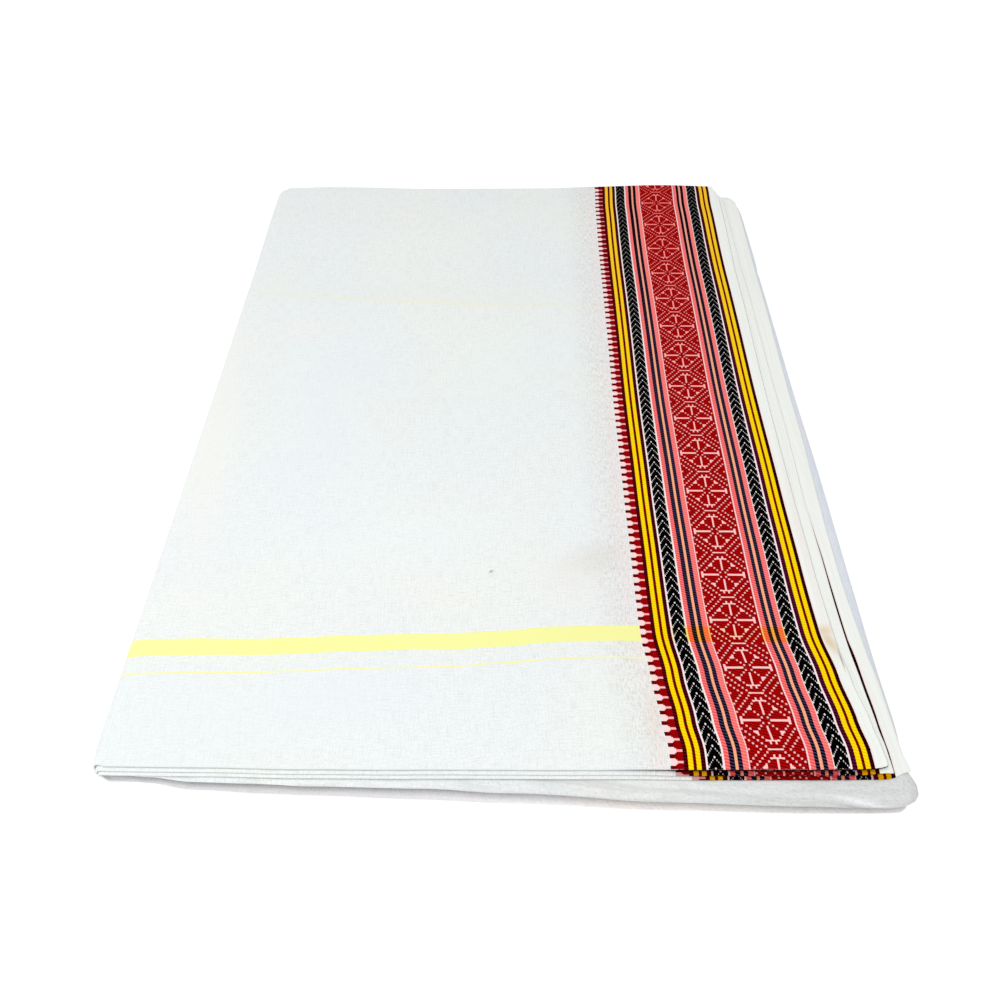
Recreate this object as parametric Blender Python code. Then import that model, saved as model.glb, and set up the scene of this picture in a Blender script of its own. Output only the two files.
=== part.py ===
"""A cotton dhoti folded into a flat packet, lying on a table.

The cloth is an unstitched length, 1.27 m by 3.70 m. It is folded in half three times along its length and
twice across its width, so 32 layers lie on each other. What shows is modelled as it lies:

    outer_leaf    the top panel with the woven border, the fold down the left side and the panel underneath
    second_leaf   the next layer, whose fold shows at the near end and whose selvedge shows at the right
    third_leaf    the layer below that
    folded_core   every hidden layer, and the thick white roll that comes out at the near end and the right

+X is towards the bordered side, +Y towards the closed far end, +Z up. The origin is at the middle of the
underside. Units are metres.
"""

import math

import bmesh
import bpy

# Driving sizes
PACKET_WIDTH = 0.3264  # from the left fold to the roll's right side
PACKET_LENGTH = 0.4645  # from the roll's nose to the far fold
WALL = 0.0010  # one modelled leaf of cloth
GAP = 0.0003  # between one leaf and the next
LEAF_STEP = WALL + GAP

LEFT_NEAR = -PACKET_WIDTH / 2
LEFT_FAR = LEFT_NEAR + 0.0018  # the left fold runs slightly askew
RIGHT = PACKET_WIDTH / 2
NEAR = -PACKET_LENGTH / 2
FAR = PACKET_LENGTH / 2

# Height of the packet's top along its left fold and above the roll at its right. The layers are pressed
# together in the middle and puff up where they are folded, at the near end and most at the far end. The near
# left corner is pressed flat.
TOP_HEIGHTS = (
    # share of the length, at the left, at the right
    (0.00, 0.0110, 0.0188),
    (0.22, 0.0112, 0.0124),
    (0.50, 0.0130, 0.0146),
    (0.76, 0.0155, 0.0174),
    (0.94, 0.0183, 0.0213),
    (1.00, 0.0185, 0.0213),
)
LEFT_COLUMN, RIGHT_COLUMN = 1, 2
# The left heights hold this far in from the left fold, and the right heights this far in from the roll
LEFT_HOLD = 0.009
RIGHT_HOLD = 0.015

# Soft troughs and swells in the top panel: centre, half length and half width, heading in degrees, depth
DENTS = (
    # x, y, half_length, half_width, heading, depth
    (-0.010, 0.070, 0.090, 0.032, 62.0, 0.0011),
    (-0.095, 0.110, 0.080, 0.036, 96.0, 0.0008),
    (-0.100, -0.110, 0.070, 0.034, 12.0, 0.0008),
    (0.095, 0.140, 0.070, 0.034, 84.0, -0.0007),
)

# The troughs start this far in from the left fold, and are full this much further on
DENTS_START = 0.010
DENTS_FADE = 0.025

# Where each leaf's right edge lies along the packet; the near end swings out over the roll
RIGHT_EDGES = (
    # y, outer leaf, second leaf, third leaf
    (-0.2320, 0.1520, 0.1545, 0.1616),
    (-0.2150, 0.1513, 0.1538, 0.1606),
    (-0.1850, 0.1480, 0.1515, 0.1602),
    (-0.1580, 0.1461, 0.1506, 0.1600),
    (-0.0600, 0.1444, 0.1515, 0.1598),
    (0.1150, 0.1445, 0.1505, 0.1582),
    (0.2320, 0.1430, 0.1487, 0.1566),
)
OUTER_COLUMN, SECOND_COLUMN, THIRD_COLUMN = 1, 2, 3

# Near ends: the outer leaf is the cut end of the cloth, the two below it are folds
OUTER_NEAR = -0.2183
SECOND_NEAR = OUTER_NEAR - 0.0010
THIRD_NEAR = OUTER_NEAR - 0.0020

# The panel underneath
UNDER_NEAR = -0.2175
UNDER_FAR = FAR - 0.0015
UNDER_RIGHT = 0.1560

# The outer leaf turns down over the far end and ends just above the core
LIP_TURN = math.radians(90)
LIP_STEPS = 5
LIP_RADIUS = 3 * LEAF_STEP - GAP - WALL / 2
LIP_START = FAR - LIP_RADIUS - WALL / 2

# The core's outline at five heights of its edge, as reach from the packet's middle. Each edge has a lower
# lobe (the bottom layers) and an upper lobe (the roll), with the dark slit between them.
CORE_EDGES = {
    # edge: (underside, lower lobe's nose, slit, upper lobe's nose, top)
    "near_left": (-0.2190, -0.2215, -0.2200, -0.2218, -0.2200),
    "near_middle": (-0.2215, -0.2243, -0.2224, -0.2288, -0.2218),
    "near_right": (-0.2240, -0.2271, -0.2252, NEAR, -0.2218),
    "right": (0.1558, 0.1590, 0.1570, RIGHT, 0.1576),
    "far": (0.2290, 0.2310, 0.2298, FAR, 0.2295),
    "left": (-0.1535, -0.1550, -0.1540, -0.1555, -0.1545),
}
# The roll's right side draws in just behind its near corner, under the third leaf
ROLL_WAIST = (
    # y, drawn in
    (-0.2300, 0.0004),
    (-0.2170, 0.0020),
    (-0.1900, 0.0010),
    (-0.1200, 0.0004),
    (-0.0300, 0.0000),
    (0.1500, 0.0000),
    (0.2320, 0.0008),
)
# The core's near edge is given at its left end, at this share of its width, and from its right bend onwards
NEAR_MIDDLE_AT = 0.45
NEAR_RIGHT_AT = 0.85
# How far up the core's edge the slit lies: high at the near left, nearly on the table at the near right
SLIT_NEAR_LEFT = 0.58
SLIT_NEAR_RIGHT = 0.16
SLIT_NEAR_LOW_AT = 0.80  # the share of the width where the slit has come down
SLIT_FAR_LEFT = 0.45
SLIT_FAR_RIGHT = 0.30
QUARTER_STEPS = 3  # rings from a lobe's nose to where it ends

CORE_CORNER = 0.008
LEAF_CORNER = 0.003
# Bounds so far off that no corner is rounded there
NO_CORNER_LOW = LEFT_NEAR - 1.0
NO_CORNER_HIGH = FAR + 1.0

# The outer leaf's fold at the left, whose near end is set back from the two panels
FOLD_STEPS = 8
FOLD_SET_BACK = 0.0020

# The finish of the cotton, and of the roll, whose open weave catches a little less light
COTTON_WHITE = (0.86, 0.87, 0.86)
LEAF_ROUGHNESS = 0.85
ROLL_WHITE = (0.83, 0.84, 0.84)
ROLL_ROUGHNESS = 0.88

# The mesh: how many steps each solid is divided into, with finer ones within a margin of its edges
ALONG_STEPS = 22
LEAF_ACROSS_STEPS = 14
CORE_ACROSS_STEPS = 16
LEAF_MARGIN = 0.006
LEAF_MARGIN_STEPS = 2
CORE_MARGIN = 0.012
CORE_MARGIN_STEPS = 3
# The outer leaf's columns, as shares of each panel's width
UNDER_SHARES = (0.0, 0.02, 0.04, 0.16, 0.37, 0.58, 0.79, 1.0)
TOP_EDGE_SHARES = (0.0, 0.02)
TOP_STEPS = 15
TOP_MARGIN = 0.05


def mix(low, high, share):
    """A value between low and high."""
    return low + (high - low) * share


def ease(share):
    """A share from 0 to 1 that starts and ends gently."""
    share = min(max(share, 0.0), 1.0)
    return share * share * (3.0 - 2.0 * share)


def between(table, at, column=1):
    """The table's value at a place, eased between its rows."""
    if at <= table[0][0]:
        return table[0][column]
    for row, following in zip(table, table[1:]):
        if at <= following[0]:
            return mix(row[column], following[column], ease((at - row[0]) / (following[0] - row[0])))
    return table[-1][column]


def left_edge(y):
    """Where the left fold's outermost line lies."""
    return mix(LEFT_NEAR, LEFT_FAR, ease((y - NEAR) / PACKET_LENGTH))


def dents(x, y):
    """How far the soft troughs lower the top here."""
    lowered = 0.0
    for centre_x, centre_y, half_length, half_width, heading, depth in DENTS:
        turn = math.radians(heading)
        along = (x - centre_x) * math.cos(turn) + (y - centre_y) * math.sin(turn)
        across = (y - centre_y) * math.cos(turn) - (x - centre_x) * math.sin(turn)
        lowered += depth * math.exp(-((along / half_length) ** 2) - (across / half_width) ** 2)
    return lowered


def top_height(x, y):
    """Height of the outer leaf's upper face above the table."""
    across = ease((x - left_edge(y) - LEFT_HOLD) / (PACKET_WIDTH - LEFT_HOLD - RIGHT_HOLD))
    along = (y - OUTER_NEAR) / (FAR - OUTER_NEAR)
    height = mix(between(TOP_HEIGHTS, along, LEFT_COLUMN), between(TOP_HEIGHTS, along, RIGHT_COLUMN), across)
    clear_of_fold = ease((x - left_edge(y) - DENTS_START) / DENTS_FADE)
    return height - dents(x, y) * clear_of_fold


def fold_radius(y):
    """The left fold's outer radius: half the packet's height there."""
    return top_height(left_edge(y), y) / 2


def rounded_corner(x, y, low_x, high_x, low_y, high_y, radius):
    """Moves a place near a square corner onto the rounded one."""
    corner_x = low_x + radius if x < low_x + radius else high_x - radius
    corner_y = low_y + radius if y < low_y + radius else high_y - radius
    out_x = (x - corner_x) / radius
    out_y = (y - corner_y) / radius
    beyond_x = x < low_x + radius or x > high_x - radius
    beyond_y = y < low_y + radius or y > high_y - radius
    if not (beyond_x and beyond_y):
        return x, y
    out_x = min(max(out_x, -1.0), 1.0)
    out_y = min(max(out_y, -1.0), 1.0)
    return (
        corner_x + radius * out_x * math.sqrt(1.0 - out_y * out_y / 2.0),
        corner_y + radius * out_y * math.sqrt(1.0 - out_x * out_x / 2.0),
    )


def shares(count, fine_margin, length, fine_steps):
    """Shares from 0 to 1, closer together within fine_margin of both ends."""
    margin = fine_margin / length
    start = [margin * step / fine_steps for step in range(fine_steps)]
    middle = [mix(margin, 1.0 - margin, step / count) for step in range(count + 1)]
    return start + middle + [1.0 - share for share in reversed(start)]


def grid_rim(columns, rows):
    """The grid places round the edge of a panel, anticlockwise from above."""
    near = [(column, 0) for column in range(columns - 1)]
    right = [(columns - 1, row) for row in range(rows - 1)]
    far = [(column, rows - 1) for column in range(columns - 1, 0, -1)]
    left = [(0, row) for row in range(rows - 1, 0, -1)]
    return near + right + far + left


def layered_solid(name, columns, rows, levels, place, material):
    """A closed solid from stacked outlines: place(column, row, level) gives each point.

    The first and the last level are filled panels, and those between are only the rim."""
    mesh_data = bmesh.new()
    rim = grid_rim(columns, rows)
    panels = {}
    for level in (0, levels - 1):
        panels[level] = {
            (column, row): mesh_data.verts.new(place(column, row, level))
            for column in range(columns)
            for row in range(rows)
        }
        for column in range(columns - 1):
            for row in range(rows - 1):
                corners = [(column, row), (column + 1, row), (column + 1, row + 1), (column, row + 1)]
                if level == 0:
                    corners.reverse()
                mesh_data.faces.new([panels[level][corner] for corner in corners])
    rings = [[panels[0][spot] for spot in rim]]
    for level in range(1, levels - 1):
        rings.append([mesh_data.verts.new(place(column, row, level)) for column, row in rim])
    rings.append([panels[levels - 1][spot] for spot in rim])
    for lower, upper in zip(rings, rings[1:]):
        for here in range(len(rim)):
            after = (here + 1) % len(rim)
            mesh_data.faces.new((lower[here], lower[after], upper[after], upper[here]))
    bmesh.ops.triangulate(mesh_data, faces=mesh_data.faces, quad_method="SHORT_EDGE")
    mesh = bpy.data.meshes.new(name)
    mesh_data.to_mesh(mesh)
    mesh_data.free()
    mesh.materials.append(material)
    mesh.shade_smooth()
    mesh.set_sharp_from_angle(angle=math.radians(50))
    solid = bpy.data.objects.new(name, mesh)
    bpy.context.scene.collection.objects.link(solid)
    return solid


def cotton(name, colour, roughness):
    """A matt woven cotton finish."""
    material = bpy.data.materials.new(name)
    material.use_nodes = True
    shader = material.node_tree.nodes["Principled BSDF"]
    shader.inputs["Base Color"].default_value = (*colour, 1.0)
    shader.inputs["Roughness"].default_value = roughness
    shader.inputs["Metallic"].default_value = 0.0
    return material


# A leaf's rim is rounded: each level's height and how far its outline draws in, as shares of the wall
RIM_LEVELS = (
    # height, drawn in
    (0.00, 0.50),
    (0.15, 0.14),
    (0.50, 0.00),
    (0.85, 0.14),
    (1.00, 0.50),
)


def flat_leaf(name, depth, near, column_of_edge, material):
    """A leaf that lies under the outer one, depth below the packet's top."""
    far = LIP_START - GAP
    across = shares(LEAF_ACROSS_STEPS, LEAF_MARGIN, PACKET_WIDTH, LEAF_MARGIN_STEPS)
    along = shares(ALONG_STEPS, LEAF_MARGIN, PACKET_LENGTH, LEAF_MARGIN_STEPS)

    def place(column, row, level):
        height, drawn_in = RIM_LEVELS[level]
        low_y = near + drawn_in * WALL
        high_y = far - drawn_in * WALL
        y = mix(low_y, high_y, along[row])
        low_x = left_edge(y) + fold_radius(y) + GAP + drawn_in * WALL
        high_x = between(RIGHT_EDGES, y, column_of_edge) - drawn_in * WALL
        x = mix(low_x, high_x, across[column])
        x, y = rounded_corner(x, y, low_x, high_x, low_y, high_y, LEAF_CORNER)
        return x, y, top_height(x, y) - depth - WALL + height * WALL

    return layered_solid(name, len(across), len(along), len(RIM_LEVELS), place, material)


def outer_leaf(material):
    """The top panel, the fold down the left side and the panel underneath, as one sheet."""
    middle = [mix(TOP_MARGIN, 1.0 - TOP_MARGIN, step / TOP_STEPS) for step in range(TOP_STEPS + 1)]
    top_shares = list(TOP_EDGE_SHARES) + middle + [1.0 - share for share in reversed(TOP_EDGE_SHARES)]
    under = [("under", share) for share in UNDER_SHARES]
    fold = [("fold", step / FOLD_STEPS) for step in range(1, FOLD_STEPS)]
    path = under + fold + [("top", share) for share in top_shares]
    straight = shares(ALONG_STEPS, LEAF_MARGIN, LIP_START - OUTER_NEAR, LEAF_MARGIN_STEPS)
    turned = [step / LIP_STEPS for step in range(1, LIP_STEPS + 1)]
    rows = len(straight) + len(turned)

    def on_underside(share, row, inset, outwards):
        high_x = UNDER_RIGHT - inset
        low_y, high_y = UNDER_NEAR + inset, UNDER_FAR - inset
        if row < len(straight):
            y = mix(low_y, LIP_START, straight[row])
            fold_y = y
        else:
            y = mix(LIP_START, high_y, turned[row - len(straight)])
            fold_y = LIP_START
        x = mix(high_x, left_edge(fold_y) + fold_radius(fold_y), share)
        x, y = rounded_corner(x, y, NO_CORNER_LOW, high_x, low_y, high_y, LEAF_CORNER)
        return x, y, WALL - outwards

    def lip(row, inset):
        """Where the sheet starts to turn down over the far end, and how far it has turned."""
        if row < len(straight):
            return 0.0
        last = inset / LIP_RADIUS if row == rows - 1 else 0.0
        return LIP_TURN * turned[row - len(straight)] - last

    def on_fold(share, row, inset, outwards):
        near = mix(UNDER_NEAR, OUTER_NEAR, share) + FOLD_SET_BACK * math.sin(math.pi * share) + inset
        y = mix(near, LIP_START, straight[row]) if row < len(straight) else LIP_START
        radius = fold_radius(y)
        angle = math.pi * share
        turn = lip(row, inset) * ease(share)
        bend = LIP_RADIUS + outwards - WALL / 2
        skin = radius - WALL / 2 - LIP_RADIUS + bend * math.cos(turn)
        flat_reach = (UNDER_FAR - LIP_START) * lip(row, inset) / LIP_TURN
        reach = mix(flat_reach, bend * math.sin(lip(row, inset)), ease(share))
        return left_edge(y) + radius - skin * math.sin(angle), y + reach, radius - skin * math.cos(angle)

    def on_top(share, row, inset, outwards):
        y = mix(OUTER_NEAR + inset, LIP_START, straight[row]) if row < len(straight) else LIP_START
        right = between(RIGHT_EDGES, y, OUTER_COLUMN) - inset
        x = mix(left_edge(y) + fold_radius(y), right, share)
        x, y = rounded_corner(x, y, NO_CORNER_LOW, right, OUTER_NEAR + inset, NO_CORNER_HIGH, LEAF_CORNER)
        turn = lip(row, inset)
        bend = LIP_RADIUS + outwards - WALL / 2
        lip_centre = top_height(x, y) - WALL / 2 - LIP_RADIUS
        return x, y + bend * math.sin(turn), lip_centre + bend * math.cos(turn)

    stretches = {"under": on_underside, "fold": on_fold, "top": on_top}

    def place(column, row, level):
        kind, share = path[column]
        height, drawn_in = RIM_LEVELS[level]
        return stretches[kind](share, row, drawn_in * WALL, height * WALL)

    return layered_solid("outer_leaf", len(path), rows, len(RIM_LEVELS), place, material)


def core_profile():
    """The core's edge from the table up: (which lobe, height within it, reach from, reach to, share)."""
    rings = [("lower", 0.0, 0, 0, 0.0)]
    stretches = (
        # lobe, height from, height to, reach from, reach to, starts at a nose
        ("lower", 0.0, 0.5, 0, 1, False),
        ("lower", 0.5, 1.0, 1, 2, True),
        ("upper", 0.0, 0.5, 2, 3, False),
        ("upper", 0.5, 1.0, 3, 4, True),
    )
    for lobe, height_from, height_to, reach_from, reach_to, from_nose in stretches:
        for step in range(1, QUARTER_STEPS + 1):
            turn = math.pi / 2 * step / QUARTER_STEPS
            rise = math.sin(turn) if from_nose else 1.0 - math.cos(turn)
            run = 1.0 - math.cos(turn) if from_nose else math.sin(turn)
            rings.append((lobe, mix(height_from, height_to, rise), reach_from, reach_to, run))
    return rings


def folded_core(material):
    """Every hidden layer as one rounded solid, with its layers parted at the edges."""
    rings = core_profile()
    across = shares(CORE_ACROSS_STEPS, CORE_MARGIN, PACKET_WIDTH, CORE_MARGIN_STEPS)
    along = shares(ALONG_STEPS, CORE_MARGIN, PACKET_LENGTH, CORE_MARGIN_STEPS)

    def reach(edge, level):
        _, _, reach_from, reach_to, run = rings[level]
        return mix(CORE_EDGES[edge][reach_from], CORE_EDGES[edge][reach_to], run)

    def near_reach(rightwards, level):
        """How far the near edge comes out, at a share of the core's width."""
        middle = reach("near_middle", level)
        if rightwards < NEAR_MIDDLE_AT:
            return mix(reach("near_left", level), middle, ease(rightwards / NEAR_MIDDLE_AT))
        onwards = ease((rightwards - NEAR_MIDDLE_AT) / (NEAR_RIGHT_AT - NEAR_MIDDLE_AT))
        return mix(middle, reach("near_right", level), onwards)

    def place(column, row, level):
        lobe, rise = rings[level][:2]
        rightwards, backwards = across[column], along[row]
        near = near_reach(rightwards, level)
        far = reach("far", level)
        y = mix(near, far, backwards)
        low_x = reach("left", level)
        high_x = reach("right", level) - between(ROLL_WAIST, y)
        x = mix(low_x, high_x, rightwards)
        x, y = rounded_corner(x, y, low_x, high_x, near, far, CORE_CORNER)
        slit = mix(
            mix(SLIT_NEAR_LEFT, SLIT_NEAR_RIGHT, ease(rightwards / SLIT_NEAR_LOW_AT)),
            mix(SLIT_FAR_LEFT, SLIT_FAR_RIGHT, rightwards),
            ease(backwards),
        )
        share = rise * slit if lobe == "lower" else mix(slit, 1.0, rise)
        underside = WALL + GAP
        topside = top_height(x, y) - 3 * LEAF_STEP
        return x, y, mix(underside, topside, share)

    return layered_solid("folded_core", len(across), len(along), len(rings), place, material)


def main():
    for old in list(bpy.data.objects):
        bpy.data.objects.remove(old, do_unlink=True)
    outer_leaf(cotton("bordered_cotton", COTTON_WHITE, LEAF_ROUGHNESS))
    second_cotton = cotton("second_leaf_cotton", COTTON_WHITE, LEAF_ROUGHNESS)
    flat_leaf("second_leaf", LEAF_STEP, SECOND_NEAR, SECOND_COLUMN, second_cotton)
    third_cotton = cotton("third_leaf_cotton", COTTON_WHITE, LEAF_ROUGHNESS)
    flat_leaf("third_leaf", 2 * LEAF_STEP, THIRD_NEAR, THIRD_COLUMN, third_cotton)
    folded_core(cotton("rolled_cotton", ROLL_WHITE, ROLL_ROUGHNESS))


main()
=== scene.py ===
# %% [markdown]
# # A cotton dhoti, folded flat
# A dhoti is one long unstitched cloth. Here it lies folded into a packet of many layers, with its woven
# border on top, along the right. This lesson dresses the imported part: thin sheets of cloth take the place
# of its plain solids, and a woven cotton finish is made from nodes, with no picture in it.
#
# The numbers that follow are metres in the part's own frame: +X towards the border, +Y towards the closed
# far end, +Z up, with the origin under the middle of the packet.

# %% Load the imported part
import math

import bpy
import numpy as np
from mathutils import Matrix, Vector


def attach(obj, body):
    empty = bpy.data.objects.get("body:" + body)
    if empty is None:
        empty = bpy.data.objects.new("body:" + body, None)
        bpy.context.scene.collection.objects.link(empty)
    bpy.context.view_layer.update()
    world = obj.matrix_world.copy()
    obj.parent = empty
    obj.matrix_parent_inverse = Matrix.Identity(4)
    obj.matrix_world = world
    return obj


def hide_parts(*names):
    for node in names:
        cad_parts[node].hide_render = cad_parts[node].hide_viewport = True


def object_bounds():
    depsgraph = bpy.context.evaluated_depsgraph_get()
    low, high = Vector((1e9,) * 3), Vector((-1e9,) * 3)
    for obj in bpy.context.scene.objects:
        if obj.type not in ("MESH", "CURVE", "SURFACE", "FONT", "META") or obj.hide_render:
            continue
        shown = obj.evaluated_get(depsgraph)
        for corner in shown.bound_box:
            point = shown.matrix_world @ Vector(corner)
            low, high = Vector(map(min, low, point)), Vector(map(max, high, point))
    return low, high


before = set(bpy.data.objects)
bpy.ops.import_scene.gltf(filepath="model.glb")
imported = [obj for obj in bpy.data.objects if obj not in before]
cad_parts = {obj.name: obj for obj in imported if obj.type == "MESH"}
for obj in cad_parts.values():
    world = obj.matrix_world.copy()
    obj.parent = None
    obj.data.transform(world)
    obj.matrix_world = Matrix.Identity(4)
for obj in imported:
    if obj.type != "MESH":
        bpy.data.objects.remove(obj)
CAD_LOW, CAD_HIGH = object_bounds()
print("the packed part's box:", [round(value, 4) for value in (*CAD_LOW, *CAD_HIGH)])

# %% [markdown]
# ## Camera
# The packet is seen from its near end, from a little above the edge of a table. A lens as long as the sensor
# is wide takes in 53 degrees, so the near end looks clearly wider than the far one.

# %% Camera
SENSOR = 36.0
LENS = 36.0
CAMERA_PLACE = (0.0031, -0.41675, 0.3672)
CAMERA_TILT = 44.46  # degrees up from straight down
CAMERA_TURN = 0.642  # degrees to the left

camera_data = bpy.data.cameras.new("camera")
camera_data.lens = LENS
camera_data.sensor_width = SENSOR
camera_data.clip_start = 0.01
camera = bpy.data.objects.new("camera", camera_data)
camera.location = CAMERA_PLACE
camera.rotation_euler = (math.radians(CAMERA_TILT), 0.0, math.radians(CAMERA_TURN))
bpy.context.scene.collection.objects.link(camera)
bpy.context.scene.camera = camera
print("camera at", CAMERA_PLACE, "with a", LENS, "mm lens")

# %% [markdown]
# ## Floor and light
# White cloth on a white table shows its folds only if the light is soft but not the same from everywhere. The
# sky here is a little darker than the cloth, one wide lamp overhead adds the rest, and the floor glows
# faintly, as a light table does. So the top is the brightest face and the folded edges fall off gently.

# %% Floor and light
SKY_STRENGTH = 0.73
LAMP_SIZE = 0.7
LAMP_PLACE = (-0.38, -0.45, 1.05)
LAMP_POWER = 6.6
FLOOR_SIZE = 8.0
FLOOR_GLOW = 0.76
FLOOR_GREY = 0.30

scene = bpy.context.scene
scene.view_settings.view_transform = "Standard"
scene.world = bpy.data.worlds.new("soft_sky")
scene.world.use_nodes = True
sky = scene.world.node_tree.nodes["Background"]
sky.inputs["Color"].default_value = (1.0, 1.0, 1.0, 1.0)
sky.inputs["Strength"].default_value = SKY_STRENGTH

lamp_data = bpy.data.lights.new("overhead_lamp", "AREA")
lamp_data.size = LAMP_SIZE
lamp_data.energy = LAMP_POWER
lamp = bpy.data.objects.new("overhead_lamp", lamp_data)
lamp.location = LAMP_PLACE
scene.collection.objects.link(lamp)

floor_mesh = bpy.data.meshes.new("floor")
half = FLOOR_SIZE / 2
floor_mesh.from_pydata([(-half, -half, 0.0), (half, -half, 0.0), (half, half, 0.0), (-half, half, 0.0)], [],
                       [(0, 1, 2, 3)])
floor = bpy.data.objects.new("floor", floor_mesh)
scene.collection.objects.link(floor)
floor_finish = bpy.data.materials.new("pale_floor")
floor_finish.use_nodes = True
floor_shader = floor_finish.node_tree.nodes["Principled BSDF"]
floor_shader.inputs["Base Color"].default_value = (FLOOR_GREY, FLOOR_GREY, FLOOR_GREY, 1.0)
floor_shader.inputs["Roughness"].default_value = 0.9
floor_shader.inputs["Emission Color"].default_value = (1.0, 1.0, 1.0, 1.0)
floor_shader.inputs["Emission Strength"].default_value = FLOOR_GLOW
floor_mesh.materials.append(floor_finish)
print("a floor", FLOOR_SIZE, "m across and one lamp", LAMP_SIZE, "m wide")

# %% [markdown]
# ## The packet's form
# Everything follows one form: how high the top of the packet lies at each place. Folded cloth is pressed thin
# in its middle and puffs up where its layers turn over, so a small table of heights, eased from row to row,
# says it better than any formula. The same table shapes the plain solids.

# %% Easing and tables
def mix(low, high, share):
    """A value between low and high."""
    return low + (high - low) * share


def ease(share):
    """A share from 0 to 1 that starts and ends gently."""
    share = np.clip(share, 0.0, 1.0)
    return share * share * (3.0 - 2.0 * share)


def eased(table, at, column=1):
    """A table's column at some places, eased from each row to the next."""
    rows = np.asarray(table, float)
    step = np.clip(np.searchsorted(rows[:, 0], at, side="right") - 1, 0, len(rows) - 2)
    share = (at - rows[step, 0]) / (rows[step + 1, 0] - rows[step, 0])
    return mix(rows[step, column], rows[step + 1, column], ease(share))


# %% Heights of the packet
WIDTH = CAD_HIGH.x - CAD_LOW.x
LENGTH = CAD_HIGH.y - CAD_LOW.y
NEAR, FAR = CAD_LOW.y, CAD_HIGH.y
LEFT, RIGHT = CAD_LOW.x, CAD_HIGH.x
FOLD_ASKEW = 0.0018  # how far the left fold wanders inwards towards the far end
FOLD_TUCK = 0.0011  # how far it draws in at its near end, over the last stretch
FOLD_TUCK_FROM, FOLD_TUCK_TO = -0.205, -0.218
CUT_END = -0.2183  # where the outer leaf's cut end lies
TOP_HEIGHTS = (
    # share of the length, at the left, at the right
    (0.00, 0.0110, 0.0188),
    (0.22, 0.0112, 0.0124),
    (0.50, 0.0130, 0.0146),
    (0.76, 0.0155, 0.0174),
    (0.94, 0.0183, 0.0213),
    (1.00, 0.0185, 0.0213),
)
LEFT_HOLD, RIGHT_HOLD = 0.009, 0.015

# Creases and swells in the top: where, how long and wide from the middle out, which way, how high (or deep)
CREASES = (
    # x, y, half_length, half_width, heading, rise
    (-0.010, 0.070, 0.090, 0.0320, 62.0, -0.00110),
    (-0.095, 0.110, 0.080, 0.0360, 96.0, -0.00080),
    (-0.100, -0.110, 0.070, 0.0340, 12.0, -0.00080),
    (0.095, 0.140, 0.070, 0.0340, 84.0, 0.00070),
    (0.005, 0.033, 0.050, 0.0022, -48.3, 0.00028),
    (0.002, 0.030, 0.046, 0.0050, -48.3, -0.00018),
    (0.037, -0.099, 0.026, 0.0020, 55.8, 0.00022),
    (-0.032, -0.010, 0.010, 0.0018, 49.0, 0.00016),
    (-0.052, 0.100, 0.110, 0.0030, -6.8, 0.00010),
    (-0.117, 0.005, 0.075, 0.0140, -77.0, -0.00030),
    (-0.022, -0.098, 0.012, 0.0022, 20.0, 0.00014),
    (-0.005, -0.116, 0.006, 0.0020, -30.0, 0.00016),
    (0.030, 0.150, 0.040, 0.0060, 75.0, -0.00022),
    (-0.070, 0.170, 0.032, 0.0050, 40.0, 0.00018),
    (-0.125, 0.150, 0.050, 0.0060, 84.0, -0.00020),
    (0.045, -0.030, 0.040, 0.0050, 80.0, 0.00018),
    (-0.060, -0.060, 0.036, 0.0060, -24.0, 0.00020),
    (-0.130, -0.050, 0.040, 0.0050, 70.0, 0.00016),
    (0.010, -0.175, 0.045, 0.0060, 8.0, 0.00018),
    (-0.085, -0.190, 0.040, 0.0050, -10.0, -0.00016),
    (0.110, -0.170, 0.030, 0.0060, 68.0, 0.00022),
    (0.128, 0.020, 0.060, 0.0040, 88.0, -0.00018),
    (0.075, 0.080, 0.055, 0.0050, 92.0, 0.00014),
    (-0.120, 0.226, 0.040, 0.0110, 0.0, 0.00100),
    (0.105, 0.226, 0.034, 0.0110, 0.0, 0.00110),
)
CREASE_START, CREASE_FADE = 0.010, 0.025  # they fade out towards the left fold


def left_edge(y):
    """Where the left fold's outermost line lies."""
    tuck = FOLD_TUCK * ease((y - FOLD_TUCK_FROM) / (FOLD_TUCK_TO - FOLD_TUCK_FROM))
    return LEFT + FOLD_ASKEW * ease((y - NEAR) / LENGTH) + tuck


def creased(table, x, y):
    """How far a table's creases raise the cloth at some places."""
    raised = 0.0
    for centre_x, centre_y, half_length, half_width, heading, rise in table:
        turn = math.radians(heading)
        along = (x - centre_x) * math.cos(turn) + (y - centre_y) * math.sin(turn)
        across = (y - centre_y) * math.cos(turn) - (x - centre_x) * math.sin(turn)
        raised = raised + rise * np.exp(-((along / half_length) ** 2) - (across / half_width) ** 2)
    return raised


def top_height(x, y):
    """Height of the packet's top above the table."""
    share = (y - CUT_END) / (FAR - CUT_END)
    rightwards = ease((x - left_edge(y) - LEFT_HOLD) / (WIDTH - LEFT_HOLD - RIGHT_HOLD))
    height = mix(eased(TOP_HEIGHTS, share, 1), eased(TOP_HEIGHTS, share, 2), rightwards)
    return height + creased(CREASES, x, y) * ease((x - left_edge(y) - CREASE_START) / CREASE_FADE)


def fold_radius(y):
    """The left fold's outer radius: half the packet's height there."""
    return top_height(left_edge(y), y) / 2


print("height at the near right", round(float(top_height(0.14, -0.2)) * 1000, 1), "mm")

# %% [markdown]
# ## One sheet of cloth
# A leaf of cloth is thin, but it isn't a plane: its cut edge shows, and light catches its rim. So a sheet is
# made from a grid of points along its middle. Each point is moved half the cloth's thickness out and in along
# the surface's own direction, which gives two skins, and a third ring between them rounds the rim. The grid
# also carries the cloth's own coordinates, in millimetres from the border's teeth and from the end stripe. A
# woven pattern drawn in those coordinates bends with the cloth, round folds and all.

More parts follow.
